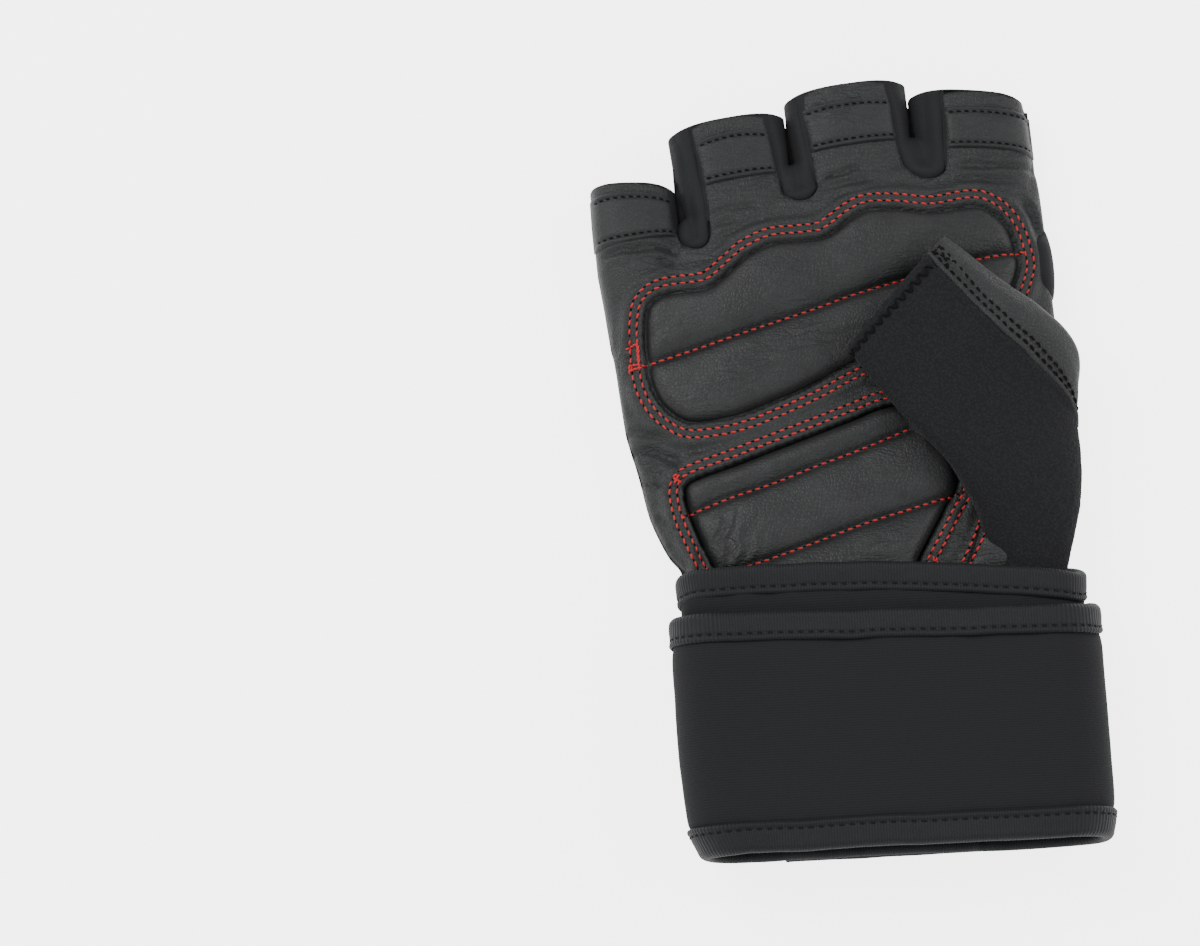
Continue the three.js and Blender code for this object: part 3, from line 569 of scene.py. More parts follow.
def leather_grain_group():
    """Pebbled grain with fine wrinkles."""
    group, given, out = new_group(
        "leather_grain", ["Pebble size", "Depth", "Roughness"], ["Colour", "Worn colour"])
    place = node(group, "ShaderNodeTexCoord").outputs["Object"]
    density = sums(group, "DIVIDE", 1000.0, given["Pebble size"])
    pebble = node(group, "ShaderNodeTexVoronoi", {"Vector": place, "Scale": density, "Randomness": 1.0},
                  feature="DISTANCE_TO_EDGE")
    flat_top = remapped(group, pebble.outputs["Distance"], 0.0, 0.22)
    fine = noise(group, place, 1700.0, Detail=5.0, Roughness=0.6)
    broad = noise(group, place, 95.0, Detail=4.0, Roughness=0.55)
    turned = {"Vector": place, "Rotation": (0, 0, -0.35), "Scale": (0.28, 1, 1)}
    turned = node(group, "ShaderNodeMapping", turned)
    folds = noise(group, turned.outputs["Vector"], 520.0, Detail=3.0, Distortion=0.8)
    ridge = sums(group, "ABSOLUTE", sums(group, "SUBTRACT", folds, 0.5))
    valley = remapped(group, ridge, 0.0, 0.07)
    where = remapped(group, noise(group, place, 55.0, Detail=2.0), 0.45, 0.68, 0.0, 2.6)
    fine_lines = sums(group, "MULTIPLY_ADD", fine, 0.9, sums(group, "MULTIPLY", valley, where))
    relief = sums(group, "ADD", flat_top, fine_lines)
    worn = remapped(group, broad, 0.42, 0.72, 0.0, 0.55)
    tint = mixed(group, worn, given["Colour"], given["Worn colour"])
    uneven = sums(group, "MULTIPLY", broad, 0.16)
    give(group, out, shaded(group, tint, remapped(group, relief, 0.3, 1.5, 0.78, 1.08)),
         sums(group, "ADD", given["Roughness"], uneven), sums(group, "MULTIPLY", relief, given["Depth"]))
    return group


def finish_from(name, group, values, bump, sheen=0.0, specular=0.5):
    """Material with a Principled shader fed by one node group."""
    material = bpy.data.materials.new(name)
    material.use_nodes = True
    tree = material.node_tree
    shader = tree.nodes["Principled BSDF"]
    used = node(tree, "ShaderNodeGroup", node_tree=group)
    for label, value in values.items():
        used.inputs[label].default_value = value
    raised = {"Height": used.outputs["Height"], "Strength": bump, "Distance": 0.001}
    raised = node(tree, "ShaderNodeBump", raised)
    tree.links.new(used.outputs["Colour"], shader.inputs["Base Color"])
    tree.links.new(used.outputs["Roughness"], shader.inputs["Roughness"])
    tree.links.new(raised.outputs["Normal"], shader.inputs["Normal"])
    shader.inputs["Specular IOR Level"].default_value = specular
    shader.inputs["Sheen Weight"].default_value = sheen
    shader.inputs["Sheen Roughness"].default_value = 0.4
    shader.inputs["Sheen Tint"].default_value = (0.5, 0.5, 0.5, 1)
    return material


def leather_finish(name, pebble, depth, roughness, colour, worn, bump):
    values = {"Pebble size": pebble, "Depth": depth, "Roughness": roughness, "Colour": (*colour, 1),
              "Worn colour": (*worn, 1)}
    return finish_from(name, leather_grain, values, bump, specular=0.30)


leather_grain = leather_grain_group()
goat_leather = leather_finish(
    "goat_leather", 0.85, 0.09, 0.42, (0.0155, 0.0165, 0.0168), (0.024, 0.0255, 0.026), 0.8)
grid_x, grid_y = hand_grid(0.62, 0.6)
roll_cut = [leather_outline[:-1], [(70, 150.0)], roll_line[::-1], [(70, 130.0)], leather_outline[-1:]]
roll_cut = np.concatenate(roll_cut)
points, faces, rim, on_edge = cut_patch(grid_x, grid_y, leather_height(grid_x, grid_y), roll_cut)
points[on_edge, 2] = leather_height(points[on_edge, 0], points[on_edge, 1])
points[:, 2] = np.maximum(points[:, 2], side_level(points[:, 0], points[:, 1]) - 0.7)
points, faces = with_turned_edge(points, faces, rim, 1.0)
palm_leather = sewn_piece("palm_front", hand_place(points), faces, goat_leather, ["palm_leather"])

# The back of the hand
# Smooth black stretch knit, sewn to the leather down both sides and flat on the table. The same cloth turns
# in at the four finger openings and lines them.
def knit_group():
    """Close rows of small knitted loops across the cloth."""
    group, given, out = new_group("knit_rows", ["Rows apart", "Depth", "Roughness"], ["Colour"])
    place = node(group, "ShaderNodeTexCoord").outputs["Object"]
    density = sums(group, "DIVIDE", 314.16, given["Rows apart"])
    rows, loops = (node(
        group, "ShaderNodeTexWave",
        {"Vector": place, "Scale": density, "Distortion": distortion, "Detail": 1.0, "Detail Scale": 2.0},
        wave_type="BANDS", bands_direction=axis,
    ).outputs["Fac"] for axis, distortion in (("Y", 0.6), ("X", 0.8)))
    both = sums(group, "ADD", rows, sums(group, "MULTIPLY", loops, 0.45))
    relief = sums(group, "ADD", both, noise(group, place, 1400.0, Detail=4.0))
    patchy = remapped(group, noise(group, place, 60.0, Detail=3.0), 0.3, 0.7, 0.9, 1.12)
    tone = sums(group, "MULTIPLY", remapped(group, relief, 0.2, 2.2, 0.62, 1.25), patchy)
    give(group, out, shaded(group, given["Colour"], tone), given["Roughness"],
         sums(group, "MULTIPLY", relief, given["Depth"]))
    return group


knit_rows = knit_group()
stretch_knit = finish_from(
    "stretch_knit", knit_rows,
    {"Rows apart": 0.38, "Depth": 0.035, "Roughness": 0.78, "Colour": (0.0125, 0.0133, 0.0140, 1)},
    bump=0.6, sheen=0.035, specular=0.22,
)


def mouth_ring(stub, back, shrink, angles):
    """Ring of a finger opening, this far back from its tip and inside its outer surface."""
    off, up = squared(np.cos(angles), roundness), squared(np.sin(angles), roundness)
    x = stub.tip_x + (stub.tip_width / 2 - shrink) * off
    return np.stack([x, tip_line(stub, x, back, np.abs(off)), stub_middle + (stub_rise - shrink) * up], -1)


def ring_faces(rows, columns, closed=True, first=0):
    """Faces between the rows of a grid of points, which may close into rings."""
    index = first + np.arange(rows * columns).reshape(rows, columns)
    after = np.roll(index, -1, 1) if closed else index[:, 1:]
    before = index if closed else index[:, :-1]
    faces = np.stack([before[:-1], before[1:], after[1:], after[:-1]], -1)
    return faces.reshape(-1, 4)


grid_x, grid_y = hand_grid(1.2, 1.1)
under = np.maximum(hand_height(grid_x, grid_y, -1), 0.0)
points, faces, rim, on_edge = cut_patch(grid_x, grid_y, under, leather_outline)
points[on_edge, 2] = np.maximum(hand_height(points[on_edge, 0], points[on_edge, 1], -1), 0.0)
points[:, 2] = np.minimum(points[:, 2], side_level(points[:, 0], points[:, 1]) + 0.2)
points, faces = with_turned_edge(points, faces, rim, -0.3)
inset = leather_height(roll_line[:, 0] - 1.5, roll_y) - 0.7
turn = np.linspace(-1.35, 1.9, 16)[:, None]
swell = 1.3 * roll_share * np.cos(np.clip(turn, -1.35, 1.35) * 0.9)
roll_x = roll_edge - 2.0 + (2.0 + swell) * np.cos(turn)
roll_z = 8.0 + np.where(turn > 0, inset - 8.0, 3.5) * np.sin(np.minimum(turn, math.pi / 2))
roll = np.stack([roll_x, roll_y + 0 * roll_x, roll_z], -1)
faces = np.concatenate([faces, ring_faces(16, 25, closed=False, first=len(points))])
points = np.concatenate([points, roll.reshape(-1, 3)])
angles = np.linspace(0, 2 * math.pi, 72, endpoint=False)
mouth = ((0.25, 0.0), (-0.15, 0.35), (-0.1, 0.85), (0.5, 1.15), (5.0, 1.3), (15.0, 1.6))
for stub in finger_stubs:
    rings = [mouth_ring(stub, back, shrink, angles) for back, shrink in mouth]
    faces = np.concatenate([faces, ring_faces(len(rings), len(angles), first=len(points))])
    points = np.concatenate([points, *rings])
back_cloth = sewn_piece("hand_back", hand_place(points), faces, stretch_knit,
                        ["back_panel"])

# The gussets between the fingers
# A strip of the same knit runs down one finger's side, round the crotch and up the next one. It puffs out
# from under the leather's cut edge, and its two sides meet in a dark line.
wall_share = np.linspace(-0.25, 1.0, 28)[:, None]
wall_size = np.interp(wall_share, *stub_sizes)
bend = np.linspace(-1, 1, 25)
swell = 0.45 * (1 - bend ** 2) - 0.35
for name, cut, left_finger in (
    ("gusset_little_ring", little_cut, 0),
    ("gusset_ring_middle", ring_cut, 1),
    ("gusset_middle_index", middle_cut, 2),
):
    edge = rounded(cut, step=0.5)
    low = edge[:, 1].argmin()
    left_edge, right_edge = edge[:low + 1], edge[low:]
    left_stub, right_stub = finger_stubs[left_finger], finger_stubs[left_finger + 1]
    valley_x = (left_stub.tip_x + left_stub.tip_width / 2 + right_stub.tip_x - right_stub.tip_width / 2) / 2
    y = np.arange(edge[:, 1].min() - 1.6, 190.0, 0.35)
    left = np.interp(y, left_edge[::-1, 1], left_edge[::-1, 0]) - 1.2
    right = np.interp(y, right_edge[:, 1], right_edge[:, 0]) + 1.2
    x = left[:, None] + (right - left)[:, None] * np.linspace(0, 1, 46)
    y = np.broadcast_to(y[:, None], x.shape).copy()
    away = line_distance(x, y, edge)[0]
    puff = 0.95 * hill(away, 2.4, 1.9) - 0.60 * hill(away, 0, 0.7)
    within = (x > left[:, None] + 1.2) & (x < right[:, None] - 1.2) & (y > edge[:, 1].min())
    z = hand_height(x, y, 1) - 0.35 + np.where(within, puff, -0.55) + 0.12 * crumple(x, y, 3.0, 41)
    z = np.maximum(z, 3.5)
    over_left = np.linspace(left.min() - 2, valley_x - 0.4, 12)
    over_right = np.linspace(valley_x + 0.4, right.max() + 2, 12)
    crotch = (valley_x, min(left_stub.tip_y, right_stub.tip_y) - 1.8)
    border = np.concatenate([
        [(over_left[0], y.min() - 1), (over_right[-1], y.min() - 1)],
        np.stack([over_right, tip_line(right_stub, over_right, 0.4)], 1)[::-1],
        [crotch],
        np.stack([over_left, tip_line(left_stub, over_left, 0.4)], 1)[::-1],
    ])
    points, faces = cut_patch(x, y, z, border)[:2]
    for side, stub in enumerate((left_stub, right_stub)):
        turn = side * math.pi + bend * 1.25
        off, up = squared(np.cos(turn), roundness), squared(np.sin(turn), roundness)
        half = wall_size * (stub.root_width + (stub.tip_width - stub.root_width) * wall_share) / 2
        wall_x = stub.root_x + (stub.tip_x - stub.root_x) * wall_share + (half + swell) * off
        tip = (wall_x - stub.tip_x) * stub.slope + 0.4 - 1.3 * np.abs(off) ** 3
        wall_y = stub.root_y + (stub.tip_y - stub.root_y) * wall_share + tip * wall_share
        wall = np.stack([wall_x, wall_y, stub_middle + (stub_rise * wall_size + swell) * up], -1)
        faces = np.concatenate([faces, ring_faces(28, 25, closed=False, first=len(points))])
        points = np.concatenate([points, wall.reshape(-1, 3)])
    gusset = sewn_piece(name + "_cloth", hand_place(points), faces, stretch_knit, [name])

# The padded windows of the palm
# Thin leather over foam, sewn in behind the two windows. Rows of stitching hold it down in channels, and it
# puffs up between them and dips under the lip round it.
pad_leather = leather_finish(
    "pad_leather", 0.95, 0.075, 0.40, (0.0150, 0.0158, 0.0162), (0.0235, 0.0245, 0.025), 0.75)


def pad_rise(x, y, window, channels, thickness):
    """Height of a pad over the hand at a place in plan."""
    away, _, inside = line_distance(x, y, window, closed=True)
    crown = depth = np.where(inside, away, 0)
    rise = -0.8 + (thickness + 0.2) * (1 - np.exp(-(depth / 1.0) ** 1.2))
    valley = np.zeros(x.shape)
    for channel in channels:
        off, along, _ = line_distance(x, y, channel)
        crown = np.minimum(crown, off)
        pinch = 1 + 0.12 * np.cos(2 * math.pi * along / red_pitch)
        valley = valley + 1.0 * pinch * hill(off, 0, 0.9) + 0.9 * hill(off, 0, 2.6)
        pull = hill(off, 0, 4.5)
        valley = valley + 0.10 * pull * crumple(along, off, 2.6, 51)
    rise = rise + 0.95 * (1 - np.exp(-crown / 4.5)) - valley * (1 - np.exp(-depth / 0.8))
    soft = 0.30 * crumple(x, y, 11.0, 52) + 0.09 * crumple(x, y, 3.5, 53) * np.exp(-depth / 6)
    pucker = np.exp(-(((x + 38) ** 2 + (y - 74) ** 2) / 60)) * 0.55 * (1 - 2 * np.abs(
        np.sin(0.9 * (x * 0.9 - y * 0.35) + 1.1 * crumple(x, y, 3.0, 54))))
    return rise + soft * (1 - np.exp(-depth / 1.5)) + pucker * (1 - np.exp(-depth / 1.5))


thumb_window = rounded([
    (20.3, 63.5), (32.0, 63.5), (33.5, 70), (32.5, 75.0), (30.3, 78.2), (27.2, 79.2), (24.6, 75.5),
    (22.6, 70.5),
], closed=True)
pads = [
    # node, window, channels, thickness
    ("upper_palm_pad", upper_window, pad_channels[0], 3.2),
    ("lower_palm_pad", lower_window, pad_channels[1], 3.2),
    ("thumb_base_pad", thumb_window, pad_channels[2], 1.9),
]


def pad_height(x, y, pad):
    return hand_height(x, y, 1) + pad_rise(x, y, *pad[1:])


for pad in pads:
    name, window = pad[:2]
    ends = zip(window.min(0), window.max(0))
    x, y = np.meshgrid(*(np.arange(low - 0.5, high + 0.5, 0.45) for low, high in ends))
    points, faces, rim, on_edge = cut_patch(x, y, pad_height(x, y, pad), window)
    points[on_edge, 2] = hand_height(points[on_edge, 0], points[on_edge, 1], 1) - 1.1
    points, faces = with_turned_edge(points, faces, rim, 0.5)
    cushion = sewn_piece(name + "_foam", hand_place(points), faces, pad_leather, [name])

# The finger bands
# A smooth strip of the same leather is sewn over each finger stub. Its long edges are turned under and held
# down by a row of black thread each.
band_leather = leather_finish(
    "band_leather", 0.8, 0.07, 0.44, (0.0155, 0.0165, 0.017), (0.024, 0.0255, 0.026), 0.7)
Band = collections.namedtuple("Band", "node number low high low_rise high_rise tilt width")
finger_bands = [
    # lower and upper edge as shares of the stub, rise of each edge's middle, tilt, flat width in metres
    Band("finger_band_little", 0, 0.30, 0.86, 0.2, 1.2, 1.7, 0.024),
    Band("finger_band_ring", 1, 0.22, 0.78, 0.2, 1.4, 0.0, 0.019),
    Band("finger_band_middle", 2, 0.24, 0.78, 0.2, 0.9, 0.0, 0.022),
    Band("finger_band_index", 3, 0.16, 0.76, 0.4, 0.7, 0.0, 0.023),
]
cut_edges = [rounded(cut, step=0.5) for cut in (little_cut, ring_cut, middle_cut)]


def finger_sides(number, y):
    """Left and right edges of a finger's leather at a height in plan."""
    left, right = hand_edges(y)
    if number > 0:
        edge = cut_edges[number - 1]
        branch = edge[edge[:, 1].argmin():]
        left = np.interp(y, branch[:, 1], branch[:, 0])
    if number < 3:
        edge = cut_edges[number]
        branch = edge[edge[:, 1].argmin()::-1]
        right = np.interp(y, branch[:, 1], branch[:, 0])
    return left, right


def band_length(band):
    stub = finger_stubs[band.number]
    return (band.high - band.low) * (stub.tip_y - stub.root_y)


def band_line(band, t, p):
    """Places in plan: t from a band's lower to its upper edge, p across the finger from left to right."""
    stub = finger_stubs[band.number]
    share = band.low + (band.high - band.low) * t
    y = stub.root_y + (stub.tip_y - stub.root_y) * share + band.tilt * (1 - t) * p
    y = y + (band.low_rise + (band.high_rise - band.low_rise) * t) * (1 - p * p)
    left, right = finger_sides(band.number, y)
    for _ in range(3):
        x = (left + right) / 2 + (right - left) / 2 * p
        placed = y + (x - stub.tip_x) * stub.slope
        left, right = finger_sides(band.number, placed)
    return x, placed


for band in finger_bands:
    p = np.linspace(-1, 1, 52)
    t = np.linspace(0, 1, 40)
    rows = [band_line(band, s, p) for s in t]
    x, y = (np.array([row[i] for row in rows]) for i in (0, 1))
    near = np.minimum(t[:, None] * band_length(band), (1 - t[:, None]) * band_length(band))
    rise = 0.85 * (1 - np.exp(-near / 0.35)) - 0.40 * hill(near, 1.45, 0.42)
    rise = rise + 0.35 * hill(near, 0.62, 0.35)
    side = 1 - np.exp(-(1 - np.abs(p)) * 12 / 0.5)
    z = leather_height(x, y) + rise * side + 0.06 * crumple(x, y, 4.0, 61)
    if band.number == 0:
        x = x - 0.3 * np.exp(-(p + 1) * 12)
    if band.number == 3:
        x = x + 0.3 * np.exp(-(1 - p) * 12)
    z = np.maximum(z, 7.4)
    faces = ring_faces(*x.shape, closed=False)
    strip = sewn_piece(band.node + "_strip", hand_place(np.stack([x, y, z], -1)).reshape(-1, 3), faces,
                       band_leather, [band.node])

# The thumb
# Black towelling for wiping sweat, from the cuff to the thumb's open end. A strip of the palm's leather is
# sewn to it along the thumb's outer side and goes on under it.
thumb_rows = np.array([
    # x, y, height of the middle, half width, half thickness, turn, bank in degrees
    [35.3, 61.8, 16.15, 9.0, 4.7, 0, 0],
    [36.1, 68.0, 16.25, 10.3, 4.8, 0, -2],
    [37.2, 78.0, 18.5, 12.9, 5.6, 5, -14],
    [36.2, 87.2, 19.8, 16.1, 5.8, 11, -20],
    [34.0, 97.0, 21.2, 18.9, 5.8, 16, -17],
    [31.8, 107.3, 23.2, 22.6, 5.6, 21, -7],
    [25.7, 115.3, 24.7, 21.5, 5.5, 30, 0],
    [19.2, 122.3, 24.8, 20.0, 5.3, 34, 0],
    [10.4, 132.5, 24.9, 18.3, 5.2, 44, 0],
])
thumb_roundness = 2.35
seam_angles = np.array([0.0, 0.522, 0.947, 1.171, 1.20, 1.202, 1.17, 1.128, 1.065, 0.998])


def thumb_place(row, angle, grow=0.0):
    """Place on the thumb at a row number and an angle round it, from its right edge up over the top."""
    x, y, z, half, rise, turn, bank = np.moveaxis(flowing(thumb_rows, row), -1, 0)
    turn, bank = np.radians(turn), np.radians(bank)
    c, s = np.cos(angle), np.sin(angle)
    across = (half + grow) * squared(c, thumb_roundness)
    up = (rise + grow) * squared(s, thumb_roundness)
    flat = across * np.cos(bank) - up * np.sin(bank)
    high = across * np.sin(bank) + up * np.cos(bank)
    return np.stack([x + flat * np.cos(turn), y + flat * np.sin(turn), z + high], -1)


def seam_angle(row):
    return np.where(row < 3.5, 0.0, flowing(seam_angles, (row - 3.5) / 0.5))


def under_angle(row):
    return math.pi * eased(3.6, 5.2, row)


def two_sided(outer, inner, closed=False):
    """Points and faces of cloth with thickness, from the grids of its two sides."""
    rows, columns = outer.shape[:2]
    index = np.arange(rows * columns).reshape(rows, columns)
    front = ring_faces(rows, columns, closed)
    loops = [np.concatenate([index[0], index[1:, -1], index[-1, -2::-1], index[-2:0:-1, 0]])]
    if closed:
        loops = [index[0], index[-1][::-1]]
    faces = [front, front[:, ::-1] + rows * columns]
    for loop in loops:
        after = np.roll(loop, -1)
        faces.append(np.stack([loop, after, after + rows * columns, loop + rows * columns], -1))
    return np.concatenate([outer.reshape(-1, 3), inner.reshape(-1, 3)]), np.concatenate(faces)


def towel_group():
    """Looped towelling: dense small tufts, paler on the highest of them as a painted highlight."""
    group, given, out = new_group(
        "towel_loops", ["Tuft size", "Depth", "Roughness"], ["Colour", "Highlight colour"])
    place = node(group, "ShaderNodeTexCoord").outputs["Object"]
    density = sums(group, "DIVIDE", 1000.0, given["Tuft size"])
    tuft = node(group, "ShaderNodeTexVoronoi", {"Vector": place, "Scale": density}, feature="F1")
    dome = sums(group, "SUBTRACT", 1.0, tuft.outputs["Distance"])
    relief = sums(group, "ADD", dome, noise(group, place, 2400.0, Detail=6.0, Roughness=0.7))
    # Paler colour on the highest tufts: a painted highlight.
    tint = mixed(group, remapped(group, relief, 0.9, 1.6), given["Colour"], given["Highlight colour"])
    give(group, out, tint, given["Roughness"], sums(group, "MULTIPLY", relief, given["Depth"]))
    return group


# The towelling's paler second colour is the painted highlight on the tuft tops.
towelling = finish_from(
    "towelling", towel_group(),
    {"Tuft size": 0.6, "Depth": 0.24, "Roughness": 0.96, "Colour": (0.0115, 0.012, 0.0128, 1),
     "Highlight colour": (0.021, 0.022, 0.0235, 1)},
    bump=0.75, sheen=0.10, specular=0.15,
)
row_length, thumb_radius, seam_radius = 10.5, 15, 17


def thumb_cloth(name, row, angle, out, inside, finish, stands_for):
    """Cloth with thickness over a part of the thumb."""
    points, faces = two_sided(thumb_place(row, angle, out), thumb_place(row, angle, inside))
    return sewn_piece(name, hand_place(points), faces, finish, [stands_for])


def thumb_crumple(row, angle, size, seed):
    return crumple(row * row_length, angle * thumb_radius, size, seed)


row = np.concatenate([np.linspace(0, 3.5, 60)[:-1], np.linspace(3.5, 8, 96)])[:, None]
t = np.linspace(0, 1, 150)
start = seam_angle(row) + 0.006
angle = start + t * (2 * math.pi - under_angle(row) - seam_angle(row) - 0.012)
tufts = 0.11 * thumb_crumple(row, angle, 0.8, 71) + 0.28 * thumb_crumple(row, angle, 9.0, 72)
rolled = 0.55 * hill((angle - start) * seam_radius, 1.0, 0.9) * eased(3.6, 4.2, row)
from_end = (8 - row) * 13
hem = 0.3 * hill(from_end, 1.2, 1.2) - 0.35 * hill(from_end, 3.6, 0.8)
towel = thumb_cloth("thumb_towel", row, angle, tufts + rolled + hem, -1.3, towelling,
                    "thumb_towelling")

row = np.linspace(3.62, 8, 120)[:, None]
t = np.linspace(0, 1, 110)
angle = seam_angle(row) - 0.004 - t * (seam_angle(row) + under_angle(row) - 0.008)
from_seam = (seam_angle(row) - angle) * seam_radius
thumb_gaps = (1.7, 3.4)
bulge = 0.45 * hill(from_seam, 0.8, 0.55) + 0.35 * hill(from_seam, 7.5, 3.0)
for gap in thumb_gaps:
    bulge = bulge - 0.35 * hill(from_seam, gap, 0.45)
dents = 0.20 * thumb_crumple(row, angle, 8.0, 73) + 0.10 * thumb_crumple(row, angle, 3.0, 74)
thumb_strip = thumb_cloth("thumb_side", row, angle, bulge + dents, -1.2, goat_leather,
                          "thumb_leather")

# The inner cuff
# A band of thin foam rubber with a knitted face, sewn into a closed loop round the wrist. The hand's
# leather and knit end inside it, and a folded tape finishes its finger end.
loop_straight, loop_radius, loop_floor = 39.8, 7.1, 8.3


def wrist_loop(place):
    """Middle line of the cuff and its outward direction: 1 for half the bottom or a bend, 2 for the top."""
    u = np.mod(place, 6)
    side = np.where(u < 3, -1.0, 1.0)
    bend = math.pi * np.clip(np.where(u < 3, u - 1, 5 - u), 0, 1)
    share = np.clip(u - 3, -1, 1)
    crown = 1.2 * np.cos(share * math.pi / 2) ** 2
    slope = -1.2 * math.pi * np.sin(share * math.pi) / (2 * loop_straight)
    top = (u > 2) & (u < 4)
    bottom = (u <= 1) | (u >= 5)
    flat_x = np.where(top, share * loop_straight, np.where(u <= 1, -u, 6 - u) * loop_straight)
    x = np.where(top | bottom, flat_x, side * (loop_straight + np.sin(bend) * loop_radius))
    lift = np.where(bottom, 0, loop_radius * (1 - np.cos(bend)))
    z = loop_floor + np.where(top, 2 * loop_radius + crown, lift)
    out_x = np.where(top, -slope, np.where(bottom, 0.0, side * np.sin(bend)))
    out_z = np.where(top, 1.0, np.where(bottom, -1.0, -np.cos(bend)))
    return x, z, out_x / np.hypot(out_x, out_z), out_z / np.hypot(out_x, out_z)


def loop_length(place):
    """Length along the cuff's middle line, in millimetres."""
    ends = [-6, -5, -4, -2, -1, 0, 1, 2, 4, 5, 6, 7, 8]
    steps = np.array([0, 39.8, 22.3, 79.6, 22.3, 39.8, 39.8, 22.3, 79.6, 22.3, 39.8, 39.8, 22.3])
    return np.interp(place, ends, np.cumsum(steps) - steps[:6].sum())


def loop_places(low, high, step):
    """Places between two ends, this many millimetres apart."""
    fine = np.linspace(low, high, 4000)
    run = loop_length(fine)
    return np.interp(np.linspace(run[0], run[-1], int((run[-1] - run[0]) / step) + 1), run, fine)


def on_wrist(place, out, y):
    """Places this far out from the cuff's middle line, at a height in plan."""
    x, z, out_x, out_z = wrist_loop(place)
    return np.stack([x + out_x * out, np.broadcast_to(y, np.broadcast(x, y).shape), z + out_z * out], -1)


def round_band(name, outer, inner, run, height, finish, slot, stands_for, closed=False, shape=None):
    """Band round the wrist from the grids of its two sides, with its run and height as UV in metres."""
    if closed:
        outer, inner, run, height = (grid.swapaxes(0, 1) for grid in (outer, inner, run, height))
    points, faces = two_sided(outer, inner, closed)
    if shape:
        points = shape(points)
    piece = sewn_piece(name, wrist_place(points), faces, finish, [stands_for])
    layer = piece.data.uv_layers.new(name="run")
    corner = np.zeros(len(piece.data.loops), int)
    piece.data.loops.foreach_get("vertex_index", corner)
    flat = np.tile(np.stack([run.ravel(), height.ravel()], 1), (2, 1)) / 1000
    layer.data.foreach_set("uv", flat[corner].ravel())
    return piece


def ribbed_group():
    """Fine ribs across a tape or knit rows along a band, in the run's own directions."""
    group, given, out = new_group(
        "ribbed_weave", ["Across", "Pitch", "Depth", "Roughness", "Fluff"], ["Colour"])
    place = node(group, "ShaderNodeTexCoord").outputs
    parts = node(group, "ShaderNodeSeparateXYZ", {"Vector": place["UV"]}).outputs
    run = {"Factor": given["Across"], "A": parts["Y"], "B": parts["X"]}
    run = node(group, "ShaderNodeMix", run, data_type="FLOAT")
    turns = sums(group, "MULTIPLY", run.outputs["Result"], 6283.2)
    phase = sums(group, "DIVIDE", turns, given["Pitch"])
    wander = noise(group, place["Object"], 350.0, Detail=2.0)
    wave = sums(group, "SINE", sums(group, "MULTIPLY_ADD", wander, 1.6, phase))
    fluff = sums(group, "MULTIPLY", noise(group, place["Object"], 2200.0, Detail=5.0), given["Fluff"])
    relief = sums(group, "MULTIPLY_ADD", wave, 0.5, fluff)
    shade = remapped(group, relief, -0.5, 0.8, 0.7, 1.2)
    give(group, out, shaded(group, given["Colour"], shade), given["Roughness"],
         sums(group, "MULTIPLY", relief, given["Depth"]))
    return group


ribbed_weave = ribbed_group()
neoprene = finish_from(
    "neoprene", ribbed_weave,
    {"Across": 0.0, "Pitch": 0.62, "Depth": 0.05, "Roughness": 0.82, "Fluff": 1.4,
     "Colour": (0.0125, 0.0130, 0.0138, 1)},
    bump=0.5, sheen=0.025, specular=0.12,
)
binding_tape = finish_from(
    "binding_tape", ribbed_weave,
    {"Across": 1.0, "Pitch": 0.67, "Depth": 0.14, "Roughness": 0.62, "Fluff": 0.35,
     "Colour": (0.0098, 0.0110, 0.0125, 1)},
    bump=0.8, sheen=0.02, specular=0.2,
)


def edge_bow(place):
    """How much further up the cuff's finger end reaches: more amid the palm side, less by the thumb."""
    u = np.mod(place, 6)
    x, z, _, _ = wrist_loop(u)
    share = x / (loop_straight + loop_radius)
    palm_side = eased(loop_floor, loop_floor + 2 * loop_radius, z)
    return 1.1 * np.clip(1 - ((u - 3.1) / 1.15) ** 2, 0, 1) - palm_side * (2.75 * share + 1.05 * share ** 2)


def cuff_flare(y):
    return 0.9 * eased(56, 66, y)


places = loop_places(0, 6, 1.1)[:-1]
y = np.linspace(4.0, 65.4, 58)
p, h = np.meshgrid(places, y, indexing="ij")
h = h + edge_bow(p) * eased(40, 66, h)
edge = np.clip(np.minimum(h - 4.0, 65.4 - h), 0, None)
soft = 0.22 * crumple(loop_length(p), h, 9.0, 81) + 0.10 * crumple(loop_length(p), h, 3.2, 82)
outer = on_wrist(p, 1.1 + cuff_flare(h) + soft - 0.9 * np.exp(-edge / 0.4), h)
inner = on_wrist(p, -1.1 + cuff_flare(h) + soft, h)
cuff = round_band("inner_cuff_band", outer, inner, loop_length(p), h, neoprene, "neoprene", "inner_cuff",
                  closed=True)

Tape = collections.namedtuple("Tape", "name node edge facing wall low high offset cuff seed")
tape_width, tape_seam = 6.8, 5.05


def on_tape(tape, places, out, high):
    """Places on a tape from its flat section, with the waves along its run."""
    length = loop_length(places) + 0 * out
    wave = 0.20 * crumple(length, high * 0.3, 6.0, tape.seed)
    out = out + tape.offset(places) + (wave + 0.10 * crumple(length, high, 2.4, tape.seed + 1))
    if tape.cuff:
        out = out + cuff_flare(high)
    high = high + 0.22 * crumple(length, 0 * length, 7.0, tape.seed + 2)
    if tape.cuff:
        high = high + edge_bow(places)
    return on_wrist(places, out, high)


